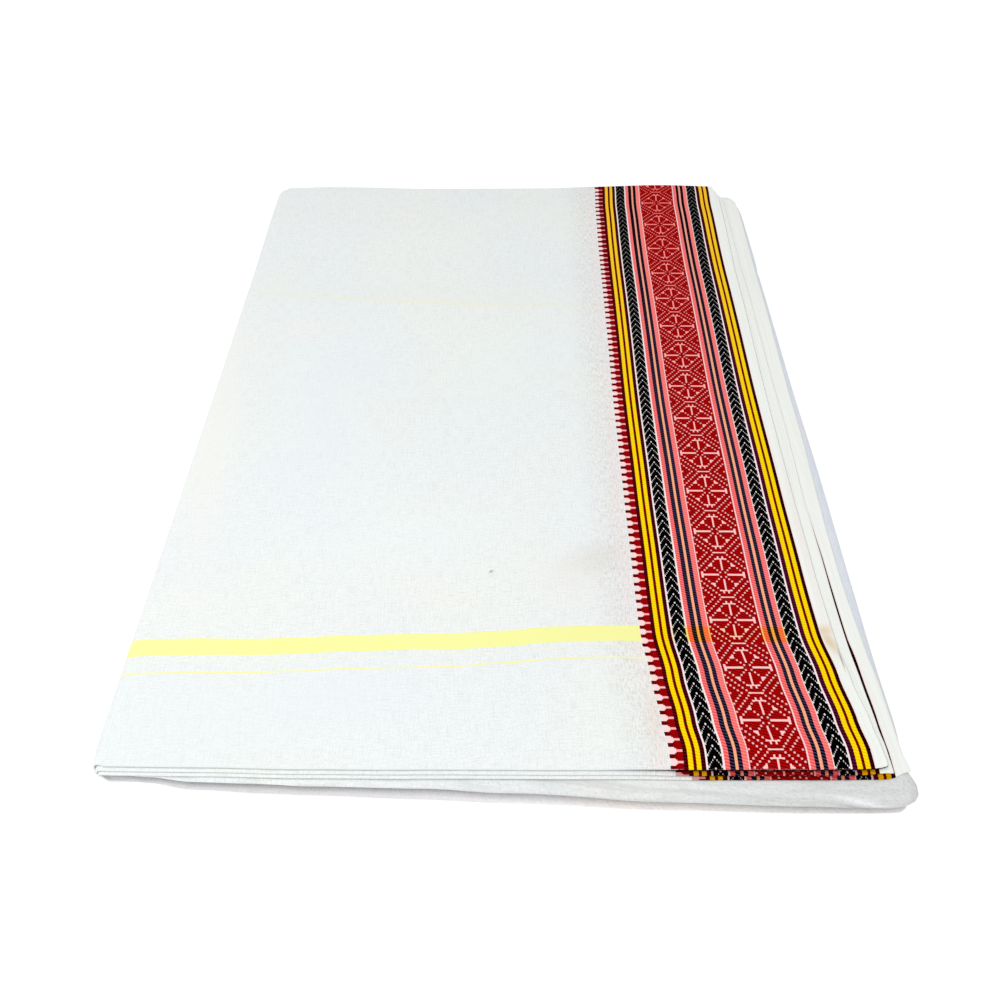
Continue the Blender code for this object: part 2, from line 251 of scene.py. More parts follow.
# %% A thin closed sheet from a grid of points
def rim_of(rows, columns):
    """The grid's edge places, in order, as (row, column)."""
    near = [(0, column) for column in range(columns - 1)]
    right = [(row, columns - 1) for row in range(rows - 1)]
    far = [(rows - 1, column) for column in range(columns - 1, 0, -1)]
    left = [(row, 0) for row in range(rows - 1, 0, -1)]
    return np.array(near + right + far + left)


def unit(vectors):
    """The same directions, one long."""
    return vectors / np.maximum(np.linalg.norm(vectors, axis=-1, keepdims=True), 1e-12)


def make_mesh(name, points, cloth, faces):
    """A smooth mesh object with its cloth coordinates as a UV map."""
    mesh = bpy.data.meshes.new(name)
    mesh.from_pydata(points.tolist(), [], faces)
    mesh.shade_smooth()
    spots = np.zeros(len(mesh.loops), np.int32)
    mesh.loops.foreach_get("vertex_index", spots)
    layer = mesh.uv_layers.new(name="cloth")
    layer.data.foreach_set("uv", cloth[spots].astype(np.float32).ravel())
    piece = bpy.data.objects.new(name, mesh)
    scene.collection.objects.link(piece)
    return piece


def grid_faces(rows, columns, start, turned_over):
    """The quads of a grid whose points begin at start."""
    faces = []
    for row in range(rows - 1):
        for column in range(columns - 1):
            first = start + row * columns + column
            quad = (first, first + 1, first + columns + 1, first + columns)
            faces.append(quad[::-1] if turned_over else quad)
    return faces


RIM_DRAWN_IN = 0.45  # how far the two skins stop short of the rim, as a share of the cloth's thickness
RIM_BEYOND = 1000.0  # added to the cloth coordinates of the near and right rims, so that a shader can tell them


def sheet_piece(name, middle, cloth, thickness):
    """A closed thin sheet round a grid of middle points."""
    rows, columns = middle.shape[:2]
    outwards = unit(np.cross(np.gradient(middle, axis=1), np.gradient(middle, axis=0)))
    rim = rim_of(rows, columns)
    inside = np.stack([np.clip(rim[:, 0], 1, rows - 2), np.clip(rim[:, 1], 1, columns - 2)], axis=1)
    rim_points = middle[rim[:, 0], rim[:, 1]]
    inwards = unit(middle[inside[:, 0], inside[:, 1]] - rim_points) * thickness * RIM_DRAWN_IN
    drawn = middle.copy()
    drawn[rim[:, 0], rim[:, 1]] += inwards
    outer = drawn + outwards * thickness / 2
    inner = drawn - outwards * thickness / 2
    points = np.concatenate([outer.reshape(-1, 3), inner.reshape(-1, 3), rim_points])
    flat = cloth.reshape(-1, 2)
    rim_spots = rim[:, 0] * columns + rim[:, 1]
    beyond = np.zeros((len(rim), 2))
    beyond[rim[:, 1] == columns - 1, 0] = RIM_BEYOND
    beyond[rim[:, 0] == 0, 1] = -RIM_BEYOND
    cloth_all = np.concatenate([flat, flat, flat[rim_spots] + beyond])
    count = rows * columns
    faces = grid_faces(rows, columns, 0, False) + grid_faces(rows, columns, count, True)
    for here in range(len(rim)):
        after = (here + 1) % len(rim)
        edge_here, edge_after = 2 * count + here, 2 * count + after
        faces.append((rim_spots[here], edge_here, edge_after, rim_spots[after]))
        faces.append((edge_here, count + rim_spots[here], count + rim_spots[after], edge_after))
    return make_mesh(name, points, cloth_all, [tuple(int(spot) for spot in face) for face in faces])


def cut_size(middle):
    """The width and length of the cloth in a grid, measured over its surface."""
    across = np.linalg.norm(np.diff(middle, axis=1), axis=2).sum(axis=1)
    along = np.linalg.norm(np.diff(middle, axis=0), axis=2).sum(axis=0)
    return float(np.median(across)), float(np.median(along))


# %% [markdown]
# ## Where the pattern lies
# The border runs straight along the packet, and swings out by seven millimetres near the cut end, where the
# pile of layers is thick. The weft runs across, and the end stripe shows that it isn't quite straight either.
# Two short tables hold those wanderings. The pattern's own numbers can then stay straight.

# %% Cloth coordinates, in millimetres
MILLI = 1000.0
TEETH_TO_MIDDLE = 0.0419  # from the tips of the teeth to the middle of the border
BORDER_MIDDLE = (
    # y, x of the border's middle line
    (-0.2250, 0.1092),
    (-0.2110, 0.1095),
    (-0.1970, 0.1079),
    (-0.1740, 0.1058),
    (-0.1500, 0.1036),
    (-0.1100, 0.1035),
    (-0.0600, 0.1030),
    (0.0000, 0.1026),
    (0.0700, 0.1029),
    (0.1600, 0.1029),
    (0.2000, 0.1032),
    (0.2350, 0.1044),
)
STRAIGHT_MIDDLE = BORDER_MIDDLE[7][1]  # its place halfway along the packet
SWING_FADE = (-0.100, 0.060)  # left of this stretch the warp runs straight
END_STRIPE = (
    # x, y of the end stripe's middle
    (-0.1650, -0.1603),
    (-0.1490, -0.1589),
    (-0.1310, -0.1583),
    (-0.1090, -0.1583),
    (-0.0870, -0.1576),
    (-0.0650, -0.1562),
    (-0.0210, -0.1553),
    (0.0000, -0.1538),
    (0.0220, -0.1516),
    (0.0440, -0.1507),
    (0.1000, -0.1510),
    (0.1650, -0.1516),
)


def cloth_coordinates(x, y, outwards=0.0, beyond=0.0):
    """Millimetres from the teeth, and from the end stripe; the extras carry on round a fold."""
    swing = eased(BORDER_MIDDLE, y) - STRAIGHT_MIDDLE
    held = ease((x - SWING_FADE[0]) / (SWING_FADE[1] - SWING_FADE[0]))
    across = x - (STRAIGHT_MIDDLE - TEETH_TO_MIDDLE) - swing * held + outwards
    along = y - eased(END_STRIPE, x) + beyond
    return np.stack([across, along], axis=-1) * MILLI


# %% [markdown]
# ## The outer leaf
# The outer leaf is one sheet: it lies over the top, turns round the left side and lies underneath, and its far
# end turns down over the packet's far end. It is laid out as a grid whose columns follow that path, and whose
# last rows go down the far side. A place on the path is one number: -2 at the right edge underneath, -1 where
# the left fold starts, 0 where it ends on top, and 1 at the right edge on top.

# %% Paths over the packet's skin
CLOTH = 0.0009  # thickness of a modelled leaf, fuzz and all
OUTER_MIDDLE = 0.0005  # depth of the outer leaf's middle below the packet's skin
UNDER_NEAR, UNDER_FAR, UNDER_RIGHT = -0.2175, FAR - 0.0015, 0.1560
TOP_LEFT = LEFT + 0.006  # about where the top begins, past the left fold
FAR_AWAY = 1.0  # where an edge or a corner has no effect
EDGE_ROW = 0.0006  # a last narrow row beside an open edge keeps the edge's shading crisp


def by_part(path, under, fold, top):
    """Picks a value by the part of the path: underneath up to -1, the left fold up to 0, then the top."""
    return np.where(path < -1.0, under, np.where(path < 0.0, fold, top))


def skin_point(path, y, depth, right):
    """A place on the packet's skin, at a depth below it."""
    left, radius = left_edge(y), fold_radius(y)
    turn = math.pi * np.clip(path + 1.0, 0.0, 1.0)
    x_under = mix(UNDER_RIGHT, left + radius, np.clip(path + 2.0, 0.0, 1.0))
    x_fold = left + radius - (radius - depth) * np.sin(turn)
    x_top = mix(left + radius, right, np.clip(path, 0.0, 1.0))
    z_fold = radius - (radius - depth) * np.cos(turn)
    return by_part(path, x_under, x_fold, x_top), by_part(path, depth, z_fold, top_height(x_top, y) - depth)


def fold_arc(path, y):
    """How far the cloth has run, past where the top begins, back round the fold and underneath."""
    radius = fold_radius(y)
    round_the_fold = math.pi * radius * np.clip(-path, 0.0, 1.0)
    underneath = (UNDER_RIGHT - left_edge(y) - radius) * np.clip(-path - 1.0, 0.0, 1.0)
    return round_the_fold + underneath


def spaced(length, step):
    """Shares from 0 to 1 with about a step between them."""
    return np.linspace(0.0, 1.0, max(2, round(length / step) + 1))


def spaced_to_edge(length, step):
    """The same, with a narrow last step."""
    return np.concatenate([spaced(length, step)[:-1], [1.0 - EDGE_ROW / length, 1.0]])


# %% Rounded corners
def rounded_corners(x, y, left, right, near, far, radius):
    """Moves places near the corners of an outline onto rounded corners."""
    out_right = np.clip((x - (right - radius)) / radius, 0.0, 1.0)
    out_left = np.clip(((left + radius) - x) / radius, 0.0, 1.0)
    out_near = np.clip(((near + radius) - y) / radius, 0.0, 1.0)
    out_far = np.clip((y - (far - radius)) / radius, 0.0, 1.0)
    out_x, out_y = np.maximum(out_right, out_left), np.maximum(out_near, out_far)
    shift_x = radius * out_x * np.sqrt(1.0 - out_y * out_y / 2.0)
    shift_y = radius * out_y * np.sqrt(1.0 - out_x * out_x / 2.0)
    x_round = np.where(out_right > out_left, right - radius + shift_x, left + radius - shift_x)
    y_round = np.where(out_near > out_far, near + radius - shift_y, far - radius + shift_y)
    at_corner = (out_x > 0.0) & (out_y > 0.0)
    return np.where(at_corner, x_round, x), np.where(at_corner, y_round, y)


# %% Edges of the leaves
CUT_ENDS = (
    # x, y of the outer leaf's cut end
    (-0.1650, -0.2162),
    (-0.1530, -0.2165),
    (-0.1180, -0.2167),
    (-0.0780, -0.2176),
    (-0.0380, -0.2181),
    (0.0400, -0.2190),
    (0.0780, -0.2194),
    (0.1170, -0.2194),
    (0.1400, -0.2190),
    (0.1540, -0.2178),
)
RIGHT_EDGES = (
    # y, outer leaf, second leaf, third leaf
    (-0.2320, 0.1522, 0.1542, 0.1618),
    (-0.2168, 0.1518, 0.1538, 0.1611),
    (-0.2084, 0.1511, 0.1536, 0.1598),
    (-0.1990, 0.1500, 0.1527, 0.1597),
    (-0.1760, 0.1476, 0.1521, 0.1598),
    (-0.1560, 0.1464, 0.1516, 0.1592),
    (-0.1060, 0.1459, 0.1518, 0.1584),
    (-0.0830, 0.1456, 0.1514, 0.1584),
    (-0.0680, 0.1453, 0.1508, 0.1586),
    (-0.0225, 0.1450, 0.1514, 0.1592),
    (0.1150, 0.1458, 0.1510, 0.1598),
    (0.2000, 0.1466, 0.1500, 0.1592),
    (0.2150, 0.1468, 0.1499, 0.1586),
    (0.2240, 0.1460, 0.1494, 0.1580),
    (0.2290, 0.1443, 0.1488, 0.1576),
    (0.2320, 0.1434, 0.1480, 0.1570),
)
OUTER_COLUMN, SECOND_COLUMN, THIRD_COLUMN = 1, 2, 3
FAR_WANDER = (
    # x, how far the far end bulges past its straight line
    (-0.1650, 0.0024),
    (-0.1450, 0.0034),
    (-0.1000, 0.0030),
    (-0.0450, 0.0008),
    (0.0300, 0.0004),
    (0.0600, 0.0028),
    (0.1200, 0.0034),
    (0.1450, 0.0030),
)

# %% The outer leaf over the top and round the left fold
TOP_STEP, FOLD_STEP, UNDER_STEP = 0.0030, 0.0018, 0.0080  # sizes of a face
TOP_LENGTH, FOLD_LENGTH, UNDER_LENGTH = 0.30, 0.030, 0.31  # about how far the path runs over each part
CUT_RIGHT, FAR_TOP_RIGHT = 0.1510, 0.1440  # the top's right ends, at the cut end and at the far end
LEAF_CORNER = 0.0022  # radius of its corners at the right
FOLD_SET_BACK = 0.0018  # how far the fold's cut end lies back, halfway round
WANDER_START = 0.150  # y from which the far end's bulge pushes the cloth on
WANDER_ON_TOP = 0.3  # the share of the far end's bulge that shows before it turns down
SPINE_RADIUS = 0.0030  # of the bend where the leaf turns down at the far end
SPINE_START = FAR - SPINE_RADIUS - OUTER_MIDDLE


def outer_top_grid(path):
    """The outer leaf's middle points and cloth coordinates, up to where it turns down at the far end."""
    on_top, folded = np.clip(path, 0.0, 1.0), np.clip(path + 1.0, 0.0, 1.0)
    near_top = eased(CUT_ENDS, mix(TOP_LEFT, CUT_RIGHT, on_top))
    near_fold = mix(UNDER_NEAR, eased(CUT_ENDS, LEFT), folded) + FOLD_SET_BACK * np.sin(math.pi * folded)
    near = np.where(path < 0.0, near_fold, near_top)
    rows = 1.0 - spaced_to_edge(SPINE_START - CUT_END, TOP_STEP)[::-1, None]
    y = mix(near, SPINE_START, rows)
    wander = eased(FAR_WANDER, mix(TOP_LEFT, FAR_TOP_RIGHT, on_top)) * (path > 0.0)
    y = y + wander * ease((y - WANDER_START) / (SPINE_START - WANDER_START)) * WANDER_ON_TOP
    right = eased(RIGHT_EDGES, y, OUTER_COLUMN)
    path = np.broadcast_to(path, y.shape)
    x, z = skin_point(path, y, OUTER_MIDDLE, right)
    x_cut, y_cut = rounded_corners(x, y, LEFT - FAR_AWAY, right, near, FAR + FAR_AWAY, LEAF_CORNER)
    x, y = np.where(path < 0.0, x, x_cut), np.where(path < 0.0, y, y_cut)
    z = np.where(path < 0.0, z, top_height(x, y) - OUTER_MIDDLE)
    x_cloth = np.where(path < 0.0, left_edge(y) + fold_radius(y), x)
    return np.stack([x, y, z], axis=-1), cloth_coordinates(x_cloth, y, outwards=-fold_arc(path, y))


# %% The outer leaf down the far side
SPINE_FOOT = 0.0017  # how high above the table the far side ends
SPINE_TUCK = 0.022  # the width over which its foot rises towards the left fold
SPINE_DRAW_IN = 0.0010  # how far its right edge comes in on the way down
FOLD_HOLD = 0.5  # how long the fold runs on as the cloth underneath does, before it closes up
FOLD_CLOSED = 0.0008  # the radius that is left where the fold closes up
SPINE_STEPS = 7  # rows in the quarter turn, and again on the way down
SPINE_CREASES = (
    # x, height, half_length, half_width, heading, rise
    (-0.118, 0.011, 0.009, 0.0030, 84.0, 0.00040),
    (-0.070, 0.008, 0.010, 0.0050, 100.0, -0.00050),
    (-0.012, 0.012, 0.012, 0.0028, 76.0, 0.00045),
    (0.034, 0.007, 0.009, 0.0040, 94.0, -0.00040),
    (0.083, 0.010, 0.040, 0.0022, 4.0, -0.00050),
    (-0.040, 0.006, 0.060, 0.0018, -2.0, 0.00040),
    (0.118, 0.012, 0.008, 0.0030, 82.0, 0.00035),
)


def far_side_row(path, turned, fallen):
    """A row of the outer leaf past the top: a share of the quarter turn, then a share of the way down."""
    angle = math.pi / 2 * turned
    ahead, sunk = SPINE_RADIUS * math.sin(angle), SPINE_RADIUS * (1.0 - math.cos(angle))
    radius = float(fold_radius(SPINE_START))
    axis = float(left_edge(SPINE_START)) + radius

    # Over the top it turns down and hangs
    edge = eased(RIGHT_EDGES, SPINE_START, OUTER_COLUMN) - LEAF_CORNER * ease(turned) - SPINE_DRAW_IN * fallen
    x_top = mix(axis, edge, np.clip(path, 0.0, 1.0))
    shoulder = top_height(x_top, SPINE_START) - OUTER_MIDDLE - sunk
    foot = mix(radius + FOLD_CLOSED, SPINE_FOOT, ease((x_top - axis) / SPINE_TUCK))
    z_top = mix(shoulder, foot, fallen)
    bulge = creased(SPINE_CREASES, x_top, z_top) * ease(fallen * 2.0)
    y_top = SPINE_START + ahead + bulge + eased(FAR_WANDER, x_top) * mix(WANDER_ON_TOP, 1.0, turned)

    # Round the left fold it closes up, and underneath it runs on
    folded = np.clip(path + 1.0, 0.0, 1.0)
    held = ease(folded * (1.0 + FOLD_HOLD) - FOLD_HOLD)
    skin = radius - OUTER_MIDDLE
    skin = mix(skin, mix(skin - sunk, FOLD_CLOSED, fallen), held)
    x_fold, z_fold = axis - skin * np.sin(math.pi * folded), radius - skin * np.cos(math.pi * folded)
    onwards = (UNDER_FAR - SPINE_START) * (turned + fallen)
    y_fold = SPINE_START + mix(onwards / 2, ahead, held)
    x_under = mix(UNDER_RIGHT, axis, np.clip(path + 2.0, 0.0, 1.0))

    x = by_part(path, x_under, x_fold, x_top)
    y = by_part(path, SPINE_START + onwards / 2, y_fold, y_top)
    z = by_part(path, OUTER_MIDDLE, z_fold, z_top)
    beyond = np.where(path < 0.0, onwards, SPINE_RADIUS * angle + fallen * (shoulder - foot))
    x_cloth, y_cloth = np.where(path < 0.0, axis, x_top), np.full_like(x_top, SPINE_START)
    cloth = cloth_coordinates(x_cloth, y_cloth, outwards=-fold_arc(path, y_cloth), beyond=beyond)
    return np.stack([x, y, z], axis=-1), cloth


path = np.concatenate([
    -2.0 + spaced(UNDER_LENGTH, UNDER_STEP)[:-1],
    -1.0 + spaced(FOLD_LENGTH, FOLD_STEP)[:-1],
    spaced_to_edge(TOP_LENGTH, TOP_STEP),
])[None, :]
stages = np.arange(1, SPINE_STEPS + 1) / SPINE_STEPS
blocks = [outer_top_grid(path)] + [far_side_row(path, turned, 0.0) for turned in stages]
blocks += [far_side_row(path, 1.0, fallen) for fallen in stages]
outer_middle, outer_cloth = (np.concatenate(parts) for parts in zip(*blocks))
bordered_leaf = sheet_piece("bordered_leaf", outer_middle, outer_cloth, CLOTH)
print("outer leaf:", len(bordered_leaf.data.polygons), "faces")

# %% [markdown]
# ## The second and third leaves
# Under the cut end lie two more leaves, and at the near end each of them is a fold, not an edge: the cloth
# comes forward underneath, turns over and goes back on top. Both show a thin line of the border there, each
# moved a few millimetres to the right. Drawn as real turned-over sheets, they also nest inside the left fold.

# %% Sizes of the two leaves
LEAF_STEP = 0.0013  # from one leaf's depth to the next one's
LEAF_CLOTH = 0.00044
LEAF_THICKNESS = 0.0010  # of a leaf turned over, both layers and the air between
TURN_BACK = 0.030  # how far the lower layer goes back under the upper one
TURN_STEPS = 7
LEAF_WRAP = -0.56  # how far round the left fold the inner leaves go, on the path
WRAP_LENGTH, WRAP_STEP = 0.018, 0.0016  # about how long that is, and the size of a face there
LEAF_LENGTH, LEAF_FACE, BACK_FACE = 0.31, 0.0032, 0.0050  # the same on top, and for the part that goes back
LEAF_RIGHT = 0.1540  # about where the leaves' right edges lie at the near end
WRAP_SET_BACK = 0.0012  # how far the near end lies back, round the left fold
CORNER_START = 0.972  # the share of the top where the near right corner starts to set back
CORNER_ROOM = 0.01  # room in front of the near end, so that only the far corners are rounded
LEAVES = (
    # name, depth, near end's lead, near right corner's set-back, far end, far corner's radius, edge's column
    ("second_leaf_fold", 1, 0.0010, 0.0000, 0.2236, 0.0060, SECOND_COLUMN),
    ("third_leaf_fold", 2, 0.0021, 0.0026, 0.2212, 0.0060, THIRD_COLUMN),
)
PATTERN_SHIFTS = (
    # y, how far to the right the second leaf's border lies, and the third leaf's
    (-0.2200, 0.0020, 0.0083),
    (-0.2155, 0.0020, 0.0082),
    (-0.2084, 0.0020, 0.0083),
    (-0.1991, 0.0018, 0.0091),
    (-0.1737, 0.0014, 0.0109),
    (-0.1560, 0.0012, 0.0123),
    (-0.1266, 0.0012, 0.0125),
    (-0.1061, 0.0012, 0.0123),
    (-0.0833, 0.0012, 0.0118),
    (-0.0680, 0.0012, 0.0109),
    (0.0000, 0.0012, 0.0092),
    (0.2320, 0.0010, 0.0070),
)
NEAR_SINK = 0.0005  # how far the leaves lie lower under the border's cut end
SINK_RIGHT, SINK_WIDTH = 0.035, 0.050
SINK_NEAR, SINK_LENGTH = -0.195, 0.018
EDGE_DROOP = 0.0006  # how far a leaf's right edge sinks onto the leaf below
DROOP_WIDTH = 0.0050


# %% Two leaves that turn over at the near end
def turned_leaf_grid(depth, lead, set_back, far, corner, column):
    """Middle points and cloth coordinates of a leaf that turns over at its near end."""
    wrap = LEAF_WRAP - LEAF_WRAP * spaced(WRAP_LENGTH, WRAP_STEP)[:-1]
    path = np.concatenate([wrap, spaced_to_edge(LEAF_LENGTH, LEAF_FACE)])[None, :]
    radius = (LEAF_THICKNESS - LEAF_CLOTH) / 2
    centre = depth + LEAF_THICKNESS / 2
    near = eased(CUT_ENDS, mix(TOP_LEFT, LEAF_RIGHT, np.clip(path, 0.0, 1.0))) - lead
    near = near + WRAP_SET_BACK * np.clip(-path, 0.0, 1.0)
    near = near + set_back * ease((path - CORNER_START) / (1.0 - CORNER_START))

    # Three stretches of rows: back underneath, round the turn, and ahead on top
    back = (1.0 - spaced(TURN_BACK, BACK_FACE))[:, None] * TURN_BACK
    turn = np.radians(np.linspace(-90.0, 90.0, TURN_STEPS)[1:-1, None])
    ahead = spaced(far - CUT_END, LEAF_FACE)[:, None]
    axis = near + radius
    y = np.concatenate([axis + back, axis - radius * np.cos(turn), mix(axis, far, ahead)])
    below = np.concatenate([back * 0 + radius, -radius * np.sin(turn), ahead * 0 - radius]) + centre
    run = np.concatenate([-back - math.pi * radius, -radius * (math.pi / 2 - turn), ahead * 0])
    path, below = np.broadcast_to(path, y.shape), np.broadcast_to(below, y.shape)

    right = eased(RIGHT_EDGES, y, column)
    x, z = skin_point(path, y, below, right)
    x_cut, y_cut = rounded_corners(x, y, LEFT - FAR_AWAY, right, near - CORNER_ROOM, far, corner)
    x, y = np.where(path < 0.0, x, x_cut), np.where(path < 0.0, y, y_cut)
    droop = EDGE_DROOP * ease((x - right + DROOP_WIDTH) / DROOP_WIDTH)
    sink = NEAR_SINK * ease((x - SINK_RIGHT) / SINK_WIDTH) * ease((SINK_NEAR - y) / SINK_LENGTH)
    z = np.where(path < 0.0, z, top_height(x, y) - below - droop - sink)
    edge = np.where(path < 0.0, left_edge(y) + fold_radius(y), x)
    along = np.where(run < 0.0, near + run, y)
    shift = eased(PATTERN_SHIFTS, y, column - 1)
    cloth = cloth_coordinates(edge, along, outwards=-fold_arc(path, y) - shift)
    return np.stack([x, y, z], axis=-1), cloth


leaf_pieces = {}
for name, step, *sizes in LEAVES:
    middle, cloth = turned_leaf_grid(step * LEAF_STEP, *sizes)
    leaf_pieces[name] = (sheet_piece(name, middle, cloth, LEAF_CLOTH), cut_size(middle))
    print(name, len(leaf_pieces[name][0].data.polygons), "faces")

# %% [markdown]
# ## The rolled layers and the bottom layers
# Below the leaves the packet is a thick white roll, which comes forward of them at the near end, and under it
# lie the bottom layers, with a dark slit between. Each is a pile of cloth whose outermost layer turns over
# smoothly, so each is made as rounded outlines stacked up its edge. At the far side and the left the separate
# layers show as fine rounded ridges, and they are real geometry.

# %% Where the piles end
NOSES = (
    # x, y of the roll's base and nose, y of the bottom layers' base and nose
    (-0.1560, -0.2136, -0.2178, -0.2136, -0.2172),
    (-0.1440, -0.2142, -0.2186, -0.2142, -0.2187),
    (-0.1250, -0.2146, -0.2206, -0.2150, -0.2215),
    (-0.0940, -0.2150, -0.2216, -0.2154, -0.2229),
    (-0.0780, -0.2154, -0.2222, -0.2156, -0.2234),
    (-0.0330, -0.2160, -0.2231, -0.2160, -0.2247),
    (0.0000, -0.2166, -0.2249, -0.2168, -0.2259),
    (0.0640, -0.2176, -0.2279, -0.2178, -0.2280),
    (0.1200, -0.2184, -0.2292, -0.2186, -0.2288),
    (0.1400, -0.2186, -0.2297, -0.2188, -0.2287),
    (0.1632, -0.2186, -0.2296, -0.2188, -0.2282),
)
ROLL_SIDE = (
    # y, how far the roll's right side is drawn in
    (-0.2330, -0.0010),
    (-0.2240, -0.0012),
    (-0.2180, 0.0012),
    (-0.2120, 0.0016),
    (-0.1900, 0.0003),
    (-0.1200, -0.0008),
    (-0.0300, -0.0008),
    (0.0500, -0.0003),
    (0.1500, 0.0000),
    (0.2000, 0.0008),
    (0.2320, 0.0020),
)
# Each pile's first column in NOSES, how far in its left nose lies, and then x of its right side and the radius
# of its corners, both at the base and at the nose
ROLL = {"noses": 1, "left": 0.0042, "right": (0.1576, RIGHT), "corners": (0.0040, 0.0082)}
BOTTOM = {"noses": 3, "left": 0.0028, "right": (0.1560, 0.1612), "corners": (0.0040, 0.0065)}
FAR_ENDS = (0.2264, 0.2300)  # y of the far base and of the far nose
FAR_RIGHT_DROP = 0.0092  # the pile's far right corner lies this much nearer
DROP_START, DROP_WIDTH = 0.120, 0.030


def pile_outline(pile, rightwards, backwards, nose):
    """Places inside a pile's outline, at its base line (nose 0) or at its outermost line (nose 1)."""
    x_guess = mix(LEFT, RIGHT, rightwards)
    near = eased(NOSES, x_guess, pile["noses"] + nose)
    far = FAR_ENDS[nose] - FAR_RIGHT_DROP * ease((x_guess - DROP_START) / DROP_WIDTH)
    y = mix(near, far, backwards)
    left = left_edge(y) + (pile["left"] if nose else fold_radius(y))
    right = pile["right"][nose] - eased(ROLL_SIDE, y)
    return rounded_corners(mix(left, right, rightwards), y, left, right, near, far, pile["corners"][nose])


# %% The slit between the piles
SLIT_NEAR = (
    # share of the width, how far up the pile the slit lies at the near end
    (0.00, 0.56),
    (0.10, 0.50),
    (0.30, 0.42),
    (0.50, 0.27),
    (0.70, 0.11),
    (0.80, 0.10),
    (0.95, 0.12),
    (1.00, 0.14),
)
SLIT_FAR = (0.45, 0.30)  # the same at the far end, at the left and right
SLIT_OPEN = (0.0014, 0.0005)  # half the gap between the two piles at their edges, at the left and right
PILE_FOOT = 0.0013  # how high above the table the bottom pile starts
PILE_DEPTH = 3 * LEAF_STEP  # how far below the packet's skin the roll's top lies


def pile_heights(pile, x, y):
    """Heights of a pile's lower and upper face."""
    rightwards = (x - LEFT) / WIDTH
    top = top_height(x, y) - PILE_DEPTH
    share = mix(eased(SLIT_NEAR, rightwards), mix(*SLIT_FAR, rightwards), ease((y - NEAR) / LENGTH))
    slit = mix(PILE_FOOT, top, share)
    gap = mix(*SLIT_OPEN, ease(rightwards))
    return (slit + gap, top) if pile is ROLL else (np.full_like(x, PILE_FOOT), slit - gap)


# %% Creases and fine layers
# Creases on the roll's front and right side: where, how long and wide, which way, how deep
ROLL_CREASES = (
    # along x, height, half_length, half_width, heading, rise
    (0.1130, 0.0092, 0.0330, 0.0010, -1.0, -0.00100),
    (0.0400, 0.0075, 0.0500, 0.0012, 1.5, -0.00050),
    (-0.0400, 0.0062, 0.0400, 0.0010, 2.0, -0.00040),
    (0.1460, 0.0060, 0.0070, 0.0010, 24.0, -0.00110),
    (0.1520, 0.0080, 0.0055, 0.0009, -18.0, -0.00100),
    (0.1390, 0.0052, 0.0060, 0.0009, 12.0, 0.00045),
    (0.0800, 0.0115, 0.0220, 0.0014, -3.0, 0.00030),
    (-0.0950, 0.0068, 0.0140, 0.0009, 6.0, -0.00030),
    (0.0050, 0.0105, 0.0240, 0.0012, -2.0, 0.00022),
)
SIDE_CREASES = (
    # along y, height, half_length, half_width, heading, rise
    (0.1380, 0.0120, 0.0022, 0.0030, 0.0, -0.00090),
    (-0.2080, 0.0080, 0.0035, 0.0045, 12.0, -0.00100),
    (-0.1500, 0.0070, 0.0500, 0.0010, 1.0, -0.00040),
    (-0.0100, 0.0080, 0.0700, 0.0011, -1.0, -0.00045),
    (0.0900, 0.0095, 0.0600, 0.0012, 1.0, -0.00040),
    (0.1900, 0.0110, 0.0250, 0.0012, 2.0, 0.00040),
)
LAYER_HEIGHT = 0.0019
LAYER_DEPTH = 0.0009
LAYER_DRIFT, LAYER_DRIFT_TURNS = 0.35, 31.0  # how far the layers rise and fall along the edge, and how often
SIDE_LAYERS = 0.25  # how strongly the layers show on the right side


def pushed(pile, base, outwards, height):
    """How far the creases and the fine layers push a pile's edge out or in."""
    left, near = np.clip(-outwards.T, 0.0, 1.0)
    right, far = np.clip(outwards.T, 0.0, 1.0)
    layer = np.mod(height / LAYER_HEIGHT + LAYER_DRIFT * np.sin(base[:, 0] * LAYER_DRIFT_TURNS), 1.0)
    ridge = np.sqrt(np.clip(1.0 - (2.0 * layer - 1.0) ** 2, 0.0, 1.0)) - 1.0
    push = LAYER_DEPTH * ridge * (far + left + SIDE_LAYERS * right)
    if pile is ROLL:
        push = push + creased(ROLL_CREASES, base[:, 0], height) * near
        push = push + creased(SIDE_CREASES, base[:, 1], height) * right
    return push


# %% Two piles
PILE_FACE = 0.0036
PILE_STEPS = 30  # up the rounded edge
FULLNESS = 0.8  # below 1 makes a fuller edge
SIDE_SLOPE = 0.7  # the right side's upper half slopes more
PUSH_START = 3.0  # the push is full from a third of the way out


